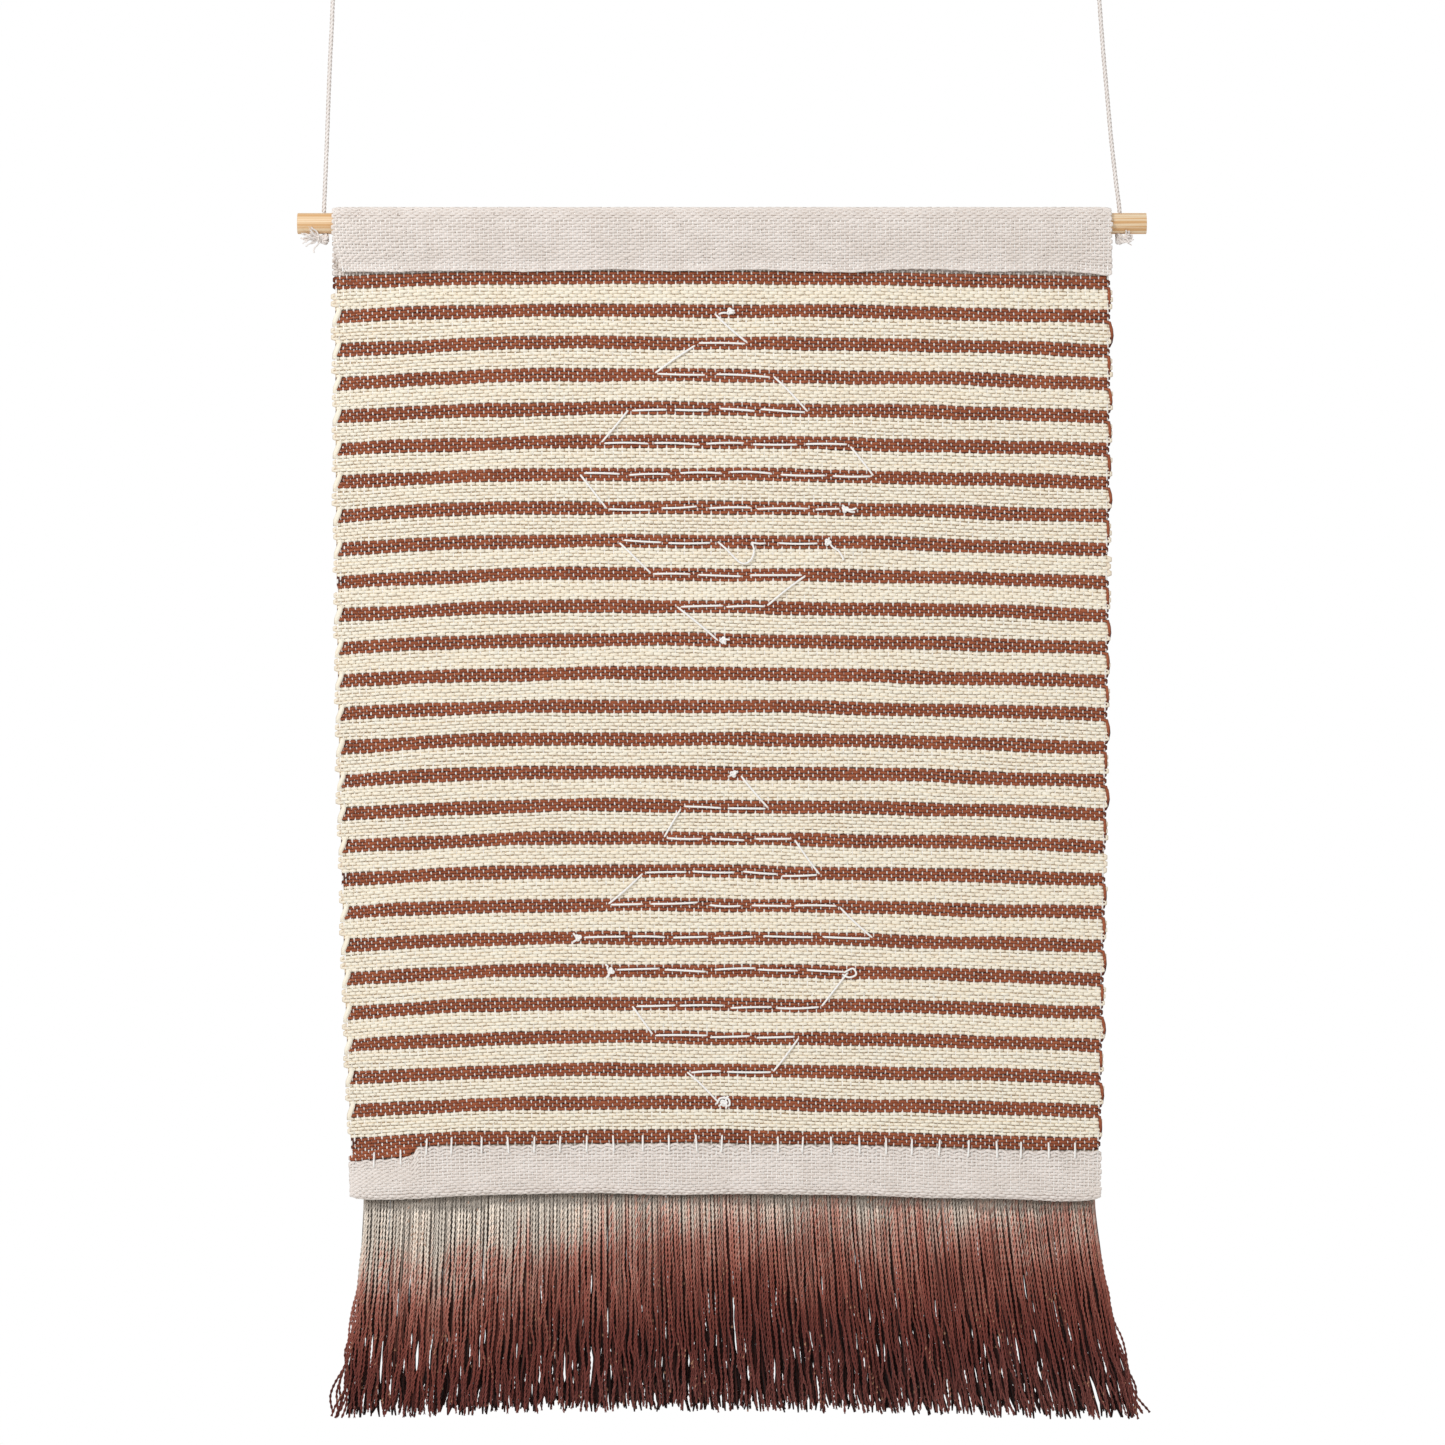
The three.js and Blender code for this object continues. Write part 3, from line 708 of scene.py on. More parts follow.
def ground_place(x, run):
    """Where a row of the flat cut hangs, and its colour: 0 greige, 0.5 cream, 1 terracotta."""
    to_hem = sleeve_profile.length + HEM_TOP - SLEEVE_BOTTOM
    if run <= sleeve_profile.length:
        return sleeve_place(x, np.full(len(x), run), np.zeros(len(x))), 0.0
    if run >= to_hem:
        return hem_place(x, np.full(len(x), run - to_hem), np.zeros(len(x))), 0.0
    depth = SLEEVE_BOTTOM + run - sleeve_profile.length
    from_stripe = abs((depth - FIRST_STRIPE + STRIPE_PITCH / 2) % STRIPE_PITCH - STRIPE_PITCH / 2)
    band = 1.0 if from_stripe < TERRACOTTA_PICKS * TERRACOTTA_PITCH / 2 else 0.5
    return field_place(x, np.full(len(x), depth), np.zeros(len(x))), band


def lay_ground():
    mesh = bpy.data.meshes.new("cloth_ground")
    shape = bmesh.new()
    bmesh.ops.create_grid(shape, x_segments=GROUND_COLUMNS, y_segments=GROUND_ROWS, size=0.5)
    shape.to_mesh(mesh)
    shape.free()
    flat = np.zeros(len(mesh.vertices) * 3)
    mesh.vertices.foreach_get("co", flat)
    flat = flat.reshape(-1, 3)
    points, band = np.zeros_like(flat), np.zeros(len(flat))
    for y in np.unique(flat[:, 1]):
        row = flat[:, 1] == y
        points[row], band[row] = ground_place(2 * HALF_WIDTH * flat[row, 0], (0.5 - y) * CLOTH_LENGTH)
    mesh.vertices.foreach_set("co", points.ravel())
    mesh.attributes.new("band", "FLOAT", "POINT").data.foreach_set("value", band)
    mesh.update()
    mesh.shade_smooth()
    piece = bpy.data.objects.new("cloth_ground", mesh)
    bpy.context.scene.collection.objects.link(piece)
    print(f"cloth_ground: {len(mesh.polygons)} faces, {sum(p.area for p in mesh.polygons):.4f} square metres "
          f"from a cut of {2 * HALF_WIDTH * CLOTH_LENGTH:.4f}")
    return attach(piece, "cloth")


ground = lay_ground()

# %% [markdown]
# ## Sewing threads
#
# The sleeve and the fringe's tape are held by running stitches, and the hem by whip stitches: each
# comes out of the striped cloth, goes over the flap's edge and in again. They are short lines, so
# each kind is one mesh.

# %% Whip stitches and seams
SEWING_R = 0.42 * MM
WHIP_PITCH = 16 * MM
SEAM_Y = -1.9 * MM
SEAM_STEP = 2.5 * MM
HEM_SEAM_END, SLEEVE_SEAM_END, TAPE_SEAM_END = 212 * MM, 214 * MM, 210 * MM


def running_stitch(depth, y_front, y_back, end_x):
    """A thread that goes in front and behind, in even stitches."""
    points = []
    for i, x in enumerate(np.arange(-end_x, end_x, SEAM_STEP)):
        hung_x, z = hung(np.array([x]), np.array([depth]))
        points.append((hung_x[0], y_front if i % 4 < 2 else y_back, z[0]))
    return smooth(points, 2)


def whip_stitch(x, rng):
    """One stitch round the flap's edge, from (y, depth under the edge) points in millimetres."""
    outline = [(0.2, -4.6), (-1.9, -3.9), (-3.2, -1.6), (-4.5, -0.4), (-4.9, 1.6), (-5.0, 3.6), (-3.4, 4.3)]
    low = 5.2 * MM if x < SHORT_ROWS_END else 0
    lean = rng.uniform(-0.8, 0.8) * MM
    points = []
    for i, (y, depth) in enumerate(outline):
        hung_x, z = hung(np.array([x + lean * i / 6]), np.array([HEM_TOP + low + depth * MM]))
        points.append((hung_x[0], y * MM, z[0]))
    return smooth(points, 3)


def sew_hem():
    rng = np.random.default_rng(31)
    count = int(2 * HALF_WIDTH / WHIP_PITCH)
    stitches = [whip_stitch((i - (count - 1) / 2) * WHIP_PITCH + rng.uniform(-1, 1) * MM, rng)
                for i in range(count)]
    inside = running_stitch(HEM_TOP + 9 * MM, SEAM_Y - 0.3 * MM, SEAM_Y + 0.3 * MM, HEM_SEAM_END)
    piece = tubes("whip_stitches", stitches + [inside], 1.3 * SEWING_R, sides=6)
    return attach(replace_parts(piece, "hem_whip_stitches"), "cloth")


whip_stitches = sew_hem()
sleeve_seam = tubes("sleeve_seam",
                    [running_stitch(SLEEVE_BOTTOM - 3 * MM, -2.4 * MM, 1.9 * MM, SLEEVE_SEAM_END)],
                    SEWING_R, sides=6)
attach(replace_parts(sleeve_seam, "sleeve_seam_thread"), "cloth")

# %% [markdown]
# ## Fringe tape
#
# A fringe has to hang from something, often a narrow woven tape that is sewn on behind the hem. Here
# the tape is a few greige picks behind the cloth, with its own running stitch.

# %% Fringe tape on the back of the hem
TAPE_Y = 3.2 * MM
TAPE_END = 213 * MM


def tape_place(x, depth, lift):
    hung_x, z = hung(x, depth)
    return np.column_stack([hung_x, np.full(len(x), TAPE_Y) - lift, z])


tape_depths = list(np.arange(HEM_TOP + 7 * MM, HEM_BOTTOM - 1 * MM, GREIGE_PITCH))
tape = weave("fringe_tape", tape_place, tape_depths, GREIGE_LIFT, 0.78 * MM, TAPE_END, 0.8 * MM, 23,
             "fringe_header")
tape_seam = tubes("tape_seam", [running_stitch(HEM_TOP + 10 * MM, 2.6 * MM, 4.9 * MM, TAPE_SEAM_END)],
                  SEWING_R, sides=6)
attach(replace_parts(tape_seam, "header_seam_thread"), "cloth")

# %% [markdown]
# ## Stitched diamonds
#
# Two diamonds are drawn on the stripes with white thread. Each half is one length of thread: it comes
# out of a knot, runs along a stripe in stitches a few centimetres long, slants to the next stripe and
# runs back. A plan holds, for each stripe, where the thread comes out and goes in, in the order in
# which it was sewn. Between two stitches the thread is behind the cloth.

# %% Stitch plans, in millimetres from the middle
UPPER_TOP = [
    (2, [2.9, -1.7]),
    (3, [13.1, -13.1]),
    (4, [-36.6, -9.7, -3.4, 27.4]),
    (5, [47.4, 22.3, 18.9, -1.1, -7.4, -27.1, -31.4, -51.4]),
    (6, [-67.4, -42.0, -38.9, -12.6, -8.6, 12.6, 17.1, 42.9, 47.4, 71.4]),
    (7, [85.1, 63.4, 59.4, 33.7, 28.9, 4.6, 0.0, -24.0, -29.7, -53.1, -58.3, -78.9]),
    (8, [-64.6, -40.6, -34.6, -14.3, -7.7, 16.9, 20.0, 49.1, 53.7, 67.4]),
]
UPPER_BOTTOM = [
    (9, [54.9, 32.6, 25.1, 17.1, -5.7, -30.9, -34.9, -56.6]),
    (10, [-39.4, -18.3, -13.7, 10.9, 16.0, 45.7]),
    (11, [24.6, 2.6, 0.6, -23.4]),
    (12, [-0.6, 0.6]),
]
LOWER_TOP = [
    (16, [7.4, 8.6]),
    (17, [25.1, 3.4, -0.3, -21.7]),
    (18, [-32.0, -11.4, -6.9, 13.1, 19.4, 40.0]),
    (19, [54.9, 34.9, 32.0, 12.6, 7.4, -17.1, -20.6, -44.0]),
    (20, [-64.6, -46.3, -41.7, -14.3, -7.4, 10.9, 17.1, 40.0, 42.3, 66.3]),
    (21, [85.7, 58.3, 53.1, 24.3, 18.3, -4.6, -7.7, -28.6, -33.1, -52.3, -57.1, -80.6]),
]
LOWER_BOTTOM = [
    (22, [-61.7, -37.1, -33.7, -9.7, -4.6, 19.4, 20.6, 44.0, 49.1, 70.9]),
    (23, [56.6, 31.7, 29.1, 5.1, 1.1, -25.1, -27.4, -50.3]),
    (24, [-39.4, -8.6, -7.0, 16.0, 20.0, 42.3]),
    (25, [28.6, 2.9, -0.6, -18.3]),
    (26, [-1.0, 1.1]),
]

# %% [markdown]
# ## From the plans to thread
#
# `stitch_points` bows one stitch over the cloth and dips its ends in, and `sew_plan` joins the stitches
# of a plan, with slanting ones between the stripes. The knots and loose ends are lines of their own in
# the same mesh.

# %% Stitching
THREAD_R = 0.6 * MM
STITCH_Y = -1.6 * MM
BEHIND_Y = 2.2 * MM


def on_stripe(x, stripe, y, off=0.0):
    depth = stripe_depth(stripe - 1) + off
    hung_x, z = hung(np.array([x]), np.array([depth]))
    return (hung_x[0], y, z[0])


def stitch_points(start, end, slack, rng):
    """One stitch in front of the cloth. start and end are (x, stripe, off). It dips at both ends."""
    points = []
    for t in (0.0, 0.06, 0.28, 0.5, 0.72, 0.94, 1.0):
        x = start[0] + (end[0] - start[0]) * t
        stripe = start[1] + (end[1] - start[1]) * t
        bow = slack * math.sin(math.pi * t) + start[2] + (end[2] - start[2]) * t
        lifted = 1 - abs(2 * t - 1) ** 6
        y = STITCH_Y * lifted + 0.2 * MM * (1 - lifted) - rng.uniform(0, 0.25) * MM
        points.append(on_stripe(x, stripe, y, bow))
    return points


def sew_plan(plan, rng):
    points, last = [], None
    for stripe, marks in plan:
        marks = [x * MM for x in marks]
        onwards = 1 if marks[-1] > marks[0] else -1
        level = rng.uniform(-1.0, 1.0) * MM
        if last:
            out = (last[0] + 2.2 * MM * last[3], last[1], last[2] + 0.6 * MM)
            home = (marks[0] - 1.5 * MM * onwards, stripe, level - 0.5 * MM)
            points += stitch_points(out, home, rng.uniform(-0.6, 0.6) * MM, rng)
            points.append(on_stripe(home[0] + 0.5 * MM * onwards, stripe, BEHIND_Y, level))
        for start, end in zip(marks[0::2], marks[1::2]):
            tilt = rng.uniform(-1.2, 1.2) * MM
            points += stitch_points((start, stripe, level), (end, stripe, level + tilt),
                                    rng.uniform(-0.5, 0.5) * MM, rng)
            points.append(on_stripe(end + 1 * MM * onwards, stripe, BEHIND_Y, level + tilt))
        last = (marks[-1], stripe, level, onwards)
    return smooth(points, 3)


# %% [markdown]
# ## Knots and loose ends
#
# Every thread and the cord end in an overhand knot, which is a trefoil pulled tight. Its formula is
# short and true, so the same few lines make the small knots here and the cord's stopper knots.

# %% Trefoil and tail
def trefoil(centre, size, turned, squash=(1, 0.6, 1)):
    """A small overhand knot: the trefoil, turned about Y."""
    t = np.linspace(0, 2 * math.pi * 0.97, 42)
    knot = np.column_stack([np.sin(t) + 2 * np.sin(2 * t), -np.sin(3 * t), np.cos(t) - 2 * np.cos(2 * t)])
    knot = knot * np.array(squash) @ np.array(Matrix.Rotation(turned, 3, "Y")).T
    return np.array(centre) + knot * size / 3


def tail(start, direction, length, curl, rng, count=7):
    """A loose end that leaves start and bends as it goes."""
    points, heading = [np.array(start, float)], np.array(direction, float)
    for _ in range(count):
        heading = heading + curl * rng.normal(size=3) * np.array([1, 0.4, 1])
        heading /= np.linalg.norm(heading)
        points.append(points[-1] + heading * length / count)
    return smooth(points, 3)


# %% [markdown]
# ## The four threads
#
# Each thread is its stitches, its knots and its loops of slack, all in one mesh.

# %% Diamonds
def stitch_diamond(name, plan, knots, loops, node, seed):
    rng = np.random.default_rng(seed)
    lines = [sew_plan(plan, rng)]
    for x, stripe, tails in knots:
        centre = on_stripe(x * MM, stripe, STITCH_Y - 0.5 * MM)
        lines.append(trefoil(centre, 1.7 * MM, rng.uniform(0, 6)))
        for x_way, z_way, length in tails:
            lines.append(tail(centre, (x_way, -0.15, z_way), length * MM, 0.28, rng))
    for loop in loops:
        lines.append(smooth([on_stripe(x * MM, stripe, y * MM, off * MM) for x, stripe, off, y in loop], 6))
    piece = tubes(name, lines, THREAD_R, sides=6)
    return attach(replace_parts(piece, node), "cloth")


# A knot is (x, stripe, loose ends), and a loose end is (x way, z way, length). A loop of slack thread
# is a few points (x, stripe, distance down, y).
diamonds = [
    stitch_diamond("upper_diamond_top", UPPER_TOP, [
        (4.6, 2, [(1, 0.2, 3), (0.6, -0.8, 3)]),
        (70.5, 8, [(1, 0.1, 7), (0.9, -0.4, 6), (-0.6, 0.5, 3)])], [],
        "upper_diamond_top_thread", 41),
    stitch_diamond("upper_diamond_bottom", UPPER_BOTTOM, [
        (60.6, 9, [(0.8, -0.6, 14), (0.3, 0.9, 3)]),
        (0.6, 12, [(1, -0.3, 4), (0.2, -1, 3)])],
        [[(17.1, 9, 0, -0.8), (18.4, 9, 4.5, -2.2), (17.2, 9, 9.0, -2.4), (14.2, 9, 11.8, -2.4),
          (10.6, 9, 11.6, -2.4), (7.2, 9, 8.8, -2.4), (2.8, 9, 4.4, -2.2), (-2.3, 9, 0, -0.8)]],
        "upper_diamond_bottom_thread", 42),
    stitch_diamond("lower_diamond_top", LOWER_TOP, [
        (6.6, 16, [(-0.5, -0.8, 4), (0.9, 0.3, 3)]),
        (-84.0, 21, [(-1, 0.4, 4), (-0.6, -0.7, 4)])], [],
        "lower_diamond_top_thread", 43),
    stitch_diamond("lower_diamond_bottom", LOWER_BOTTOM, [
        (-65.0, 22, [(-0.9, 0.3, 6), (-0.9, -0.5, 5), (-0.3, -1, 3)]),
        (1.1, 26, [(0.9, 0.4, 5), (-0.8, -0.4, 4), (0.5, -0.8, 4)])],
        [[(71, 22, 0, -0.8), (76, 22, -2.5, -2.2), (78, 22, 0.8, -2.4), (74, 22, 2.6, -2.2),
          (70, 22, 1, -0.8)],
         [(-3, 26, 0.6, -0.8), (-1, 26, -2.6, -2.2), (3.6, 26, -2.4, -2.4), (4.4, 26, 1.2, -2.2),
          (1.1, 26, 1.8, -0.8)]],
        "lower_diamond_bottom_thread", 44),
]

# %% [markdown]
# ## Fringe
#
# The fringe is several hundred two-ply yarns, sewn to the tape behind the hem and dip-dyed. In front
# and behind, each yarn is modelled as two twisted plies; plain yarns fill the middle. The yarns
# gather in clumps as they go down and sway a little. The model hangs the fringe in six sections, each
# on a joint, and each section here is one mesh whose yarns turn down at its joint's height.
# Hair curves would be another way, but these yarns are thick enough to need a real section.

# %% Yarns of the fringe
SECTIONS = 6
FRINGE_TOP = (-205 * MM, 213.5 * MM)
FRINGE_FOOT = (-215.5 * MM, 236.5 * MM)
FRINGE_LENGTH = 119 * MM
PLY_R = 0.44 * MM
PLY_LAY = 6.2 * MM
CLUMP, CLUMPS = 5.5 * MM, 120
STRAYS = 7
# Rows of yarn, the front and the back one first: (y, pitch, whether its yarns are twisted).
FRINGE_ROWS = [(-2.0 * MM, 1.68 * MM, True), (3.0 * MM, 2.6 * MM, True),
               (-0.3 * MM, 1.5 * MM, False), (1.3 * MM, 1.5 * MM, False)]
section_bend = {joint["child"]: joint["pos_m"][2] for joint in frame["joints"]}
section_middles = (np.arange(SECTIONS) + 0.5) / SECTIONS
section_bends = [section_bend[f"fringe_{i + 1}"] for i in range(SECTIONS)]
print("bends in mm:", [round(z / MM, 1) for z in section_bends])


def mix(pair, t):
    return pair[0] + (pair[1] - pair[0]) * t


def clump_centre(t, clumps):
    """The nearest clump's place, as a share of the fringe's width."""
    return clumps[np.argmin(np.abs(clumps - t))]


def yarn_line(t, row_y, clumps, bend, rng):
    """One yarn's line, from the tape to its foot. t is its place in the width, from 0 to 1."""
    top_x = mix(FRINGE_TOP, t)
    drawn = rng.uniform(0.0, 0.22)
    foot_x = mix(FRINGE_FOOT, t + (clump_centre(t, clumps) - t) * drawn) + rng.normal() * 1.0 * MM
    hem_z = hung(np.array([top_x]), np.array([HEM_BOTTOM]))[1][0]
    length = FRINGE_LENGTH * rng.uniform(0.955, 1.015)
    length -= abs(rng.normal()) * 5 * MM if rng.random() < 0.2 else 0
    # The sections bend at different heights, and this keeps the foot of the fringe one even line.
    length += bend - np.interp(t, section_middles, section_bends)
    sway = rng.uniform(0, 2 * math.pi, 4)
    wavy = rng.uniform(0.5, 1.7) * MM
    points = [(top_x, TAPE_Y, hem_z + 7 * MM), (top_x, TAPE_Y, hem_z + 2.5 * MM),
              (top_x, (TAPE_Y + row_y) / 2, bend + 2 * MM)]
    for share in np.linspace(0.03, 1, 14):
        grown = share ** 1.3
        x = top_x + (foot_x - top_x) * (0.55 * share + 0.45 * share ** 2)
        x += wavy * grown * (np.sin(share * 15 + sway[0]) + 0.6 * np.sin(share * 31 + sway[1]))
        y = row_y * (1 + 0.25 * share) + 0.45 * MM * grown * np.sin(share * 13 + sway[2])
        points.append((x, y, bend - share * length))
    return smooth(points, 4)


# %% [markdown]
# ## Strays, and where a yarn hangs at rest
#
# A few yarns at both sides have come away and curl. And because the dye follows the height, each point
# keeps the place where it hangs at rest: a section that swings takes its dye with it.

# %% Strays and places at rest
def stray_yarn(side, bend, rng):
    """A curly yarn that has come away from the side of the fringe."""
    line = yarn_line(0.004 if side < 0 else 0.996, -1.5 * MM, np.array([0.0, 1.0]), bend, rng)
    share = along(line)
    away, phase = rng.uniform(1, 8) * MM, rng.uniform(0, 2 * math.pi)
    line[:, 0] += side * share ** 2 * (away + 1.8 * MM * np.sin(share * 21 + phase))
    return line


def keep_rest_place(mesh):
    """Notes where each point hangs at rest, so that the dye stays on the yarn when it swings."""
    places = np.zeros(3 * len(mesh.vertices))
    mesh.vertices.foreach_get("co", places)
    mesh.attributes.new("rest", "FLOAT_VECTOR", "POINT").data.foreach_set("vector", places)


# %% [markdown]
# ## Six sections
#
# A section draws its four rows of yarn towards its own clumps and adds the strays at the outer sides.
# Yarns of the outer rows are twisted, because they are seen.

# %% Fringe sections
def fringe_section(section, rng):
    body = f"fringe_{section + 1}"
    bend = section_bend[body]
    low, high = section / SECTIONS + 0.0006, (section + 1) / SECTIONS - 0.0006
    clumps = np.cumsum(rng.uniform(0.7, 1.3, CLUMPS)) * CLUMP / (FRINGE_TOP[1] - FRINGE_TOP[0])
    clumps = clumps[(clumps > low) & (clumps < high)]
    lines, radii = [], []
    for row_y, pitch, twisted in FRINGE_ROWS:
        count = round((high - low) * (FRINGE_TOP[1] - FRINGE_TOP[0]) / pitch)
        for i in range(count):
            t = low + (high - low) * (i + 0.5 + rng.uniform(-0.25, 0.25)) / count
            line = yarn_line(t, row_y + rng.uniform(-0.7, 0.7) * MM, clumps, bend, rng)
            if twisted:
                yarns = plies(line, 2, 0.43 * MM, PLY_LAY, 4, rng.uniform(0, 6))
            else:
                yarns = [spaced(line, 5 * MM)]
            for yarn in yarns:
                thin = np.ones(len(yarn)) if twisted else np.full(len(yarn), 1.85)
                thin[-1] *= 0.5
                lines.append(yarn)
                radii.append(thin)
    for side in (-1, 1):
        if body == ("fringe_1" if side < 0 else f"fringe_{SECTIONS}"):
            for _ in range(STRAYS):
                stray = stray_yarn(side, bend, rng)
                lines += plies(stray, 2, 0.40 * MM, PLY_LAY, 4)
    radii += [np.ones(len(line)) for line in lines[len(radii):]]
    piece = tubes(f"fringe_yarns_{section + 1}", lines, PLY_R, sides=4, thickness=radii)
    keep_rest_place(piece.data)
    nodes = [f"fringe_bundle_{4 * section + i + 1:02d}" for i in range(4)]
    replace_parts(piece, *nodes)
    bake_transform(piece)
    return piece


fringe = [fringe_section(section, np.random.default_rng(60 + section)) for section in range(SECTIONS)]

# %% [markdown]
# ## Dowel
#
# A plain pine rod, sawn square with its edges just broken and a hole drilled down through each end.
# It starts as a cylinder, bevelled at both rims, and two thin cylinders are cut out of it.

# %% Dowel
DOWEL_SIDES = 64
BROKEN_EDGE = 0.4 * MM
HOLE_R = 1.9 * MM
HOLE_INSET = 15 * MM
HOLE_X = dowel_high.x - HOLE_INSET


def cylinder(name, radius, length, sides, turn, centre):
    mesh = bpy.data.meshes.new(name)
    shape = bmesh.new()
    bmesh.ops.create_cone(shape, cap_ends=True, segments=sides, radius1=radius, radius2=radius, depth=length)
    bmesh.ops.rotate(shape, verts=shape.verts, matrix=turn)
    bmesh.ops.translate(shape, verts=shape.verts, vec=centre)
    shape.to_mesh(mesh)
    shape.free()
    piece = bpy.data.objects.new(name, mesh)
    bpy.context.scene.collection.objects.link(piece)
    return piece


def make_dowel():
    rod = cylinder("pine_dowel", DOWEL_R, dowel_high.x - dowel_low.x, DOWEL_SIDES,
                   Matrix.Rotation(math.pi / 2, 3, "Y"), (0, 0, AXIS_Z))
    shape = bmesh.new()
    shape.from_mesh(rod.data)
    rims = [e for e in shape.edges if abs(abs(e.verts[0].co.x + e.verts[1].co.x) / 2 - dowel_high.x) < 1e-6]
    bmesh.ops.bevel(shape, geom=rims, offset=BROKEN_EDGE, segments=2, profile=0.5, affect="EDGES",
                    material=-1)
    shape.to_mesh(rod.data)
    shape.free()
    for side in (-1, 1):
        drill = cylinder("drill", HOLE_R, 4 * DOWEL_R, 24, Matrix.Identity(3), (side * HOLE_X, 0, AXIS_Z))
        cut = rod.modifiers.new("hole", "BOOLEAN")
        cut.operation = "DIFFERENCE"
        cut.object = drill
        bpy.context.view_layer.update()
        evaluated = rod.evaluated_get(bpy.context.evaluated_depsgraph_get())
        rod.data = bpy.data.meshes.new_from_object(evaluated)
        rod.modifiers.clear()
        bpy.data.objects.remove(drill)
    rod.data.name = "pine_dowel"
    rod.data.shade_smooth()
    rod.data.set_sharp_from_angle(angle=math.radians(35))
    print(f"pine_dowel: {len(rod.data.polygons)} faces")
    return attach(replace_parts(rod, "dowel"), "rod")


dowel = make_dowel()

# %% [markdown]
# ## Stopper knots
#
# Under each end of the dowel the cord is tied in an overhand knot and its end is left to fray. The
# knot is the trefoil again, now of cord, and the tuft is a few dozen fine ends that spread as they go.

# %% Knots
TUFT_ENDS = 30


def stopper_knot(name, side, reach, node, seed):
    rng = np.random.default_rng(seed)
    centre = np.array([side * HOLE_X, -1.0 * MM, AXIS_Z - DOWEL_R - 3.0 * MM])
    route = trefoil(centre, 3.0 * MM, 0.6 * side, squash=(1.0, 0.8, 0.8))
    cords = plies(smooth(route, 3), 3, CORD_PLY_R, CORD_LAY, 8)
    radii = [np.ones(len(line)) for line in cords]
    for _ in range(TUFT_ENDS):
        spread = rng.normal(size=3) * np.array([0.35, 0.35, 0.5])
        start = centre + np.array([side * 1.5, -1.5, rng.uniform(-0.8, 1.4)]) * MM
        line = tail(start, np.array([side, -0.25, 0.05]) + spread, reach * rng.uniform(0.55, 1.05), 0.3, rng)
        cords.append(line)
        radii.append(np.full(len(line), rng.uniform(0.5, 0.85)))
    piece = tubes(name, cords, CORD_PLY_R, sides=6, thickness=radii)
    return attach(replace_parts(piece, node), "rod")


knots = [stopper_knot("left_knot", -1, 12 * MM, "cord_knot_left", 71),
         stopper_knot("right_knot", 1, 6.5 * MM, "cord_knot_right", 72)]

# %% [markdown]
# ## Materials
#
# Every yarn is spun cotton, so all of them share one node group that gives fine fibres, slow patches
# and a mask of what stands proud of the cloth. The cloth lies in one plane, so the distance from that
# plane tells the tops of the pillows from the gaps between them, and shade is painted into the gaps as a
# darker tone.
# Colours are given as the eye reads them and turned into scene values.

# %% Node helpers
def colour(red, green, blue):
    linear = [c / 255 / 12.92 if c <= 10 else ((c / 255 + 0.055) / 1.055) ** 2.4 for c in (red, green, blue)]
    return (*linear, 1)


class Nodes:
    """Adds nodes to a tree and links them."""

    def __init__(self, tree):
        self.tree = tree

    def add(self, kind, inputs=None, **settings):
        node = self.tree.nodes.new(kind)
        for key, value in settings.items():
            setattr(node, key, value)
        for key, value in (inputs or {}).items():
            self.feed(value, node.inputs[key])
        return node

    def feed(self, value, socket):
        if isinstance(value, bpy.types.NodeSocket):
            self.tree.links.new(value, socket)
        else:
            socket.default_value = value

    def math(self, operation, a, b=0.0):
        return self.add("ShaderNodeMath", {0: a, 1: b}, operation=operation).outputs[0]

    def mix(self, share, a, b):
        node = self.add("ShaderNodeMix", data_type="RGBA")
        self.feed(share, node.inputs[0])
        self.feed(a, node.inputs[6])
        self.feed(b, node.inputs[7])
        return node.outputs[2]

    def mapped(self, value, low, high, to_low=0.0, to_high=1.0):
        return self.add("ShaderNodeMapRange", {0: value, 1: low, 2: high, 3: to_low, 4: to_high},
                        interpolation_type="SMOOTHSTEP").outputs[0]

    def noise(self, vector, scale, detail=2.0, rough=0.5):
        return self.add("ShaderNodeTexNoise", {"Vector": vector, "Scale": scale, "Detail": detail,
                                               "Roughness": rough}).outputs[0]


def new_group(name, inputs, outputs):
    tree = bpy.data.node_groups.new(name, "ShaderNodeTree")
    for label, kind, value in inputs:
        socket = tree.interface.new_socket(name=label, in_out="INPUT", socket_type=kind)
        socket.default_value = value
    for label, kind in outputs:
        tree.interface.new_socket(name=label, in_out="OUTPUT", socket_type=kind)
    return tree, Nodes(tree), tree.nodes.new("NodeGroupInput"), tree.nodes.new("NodeGroupOutput")
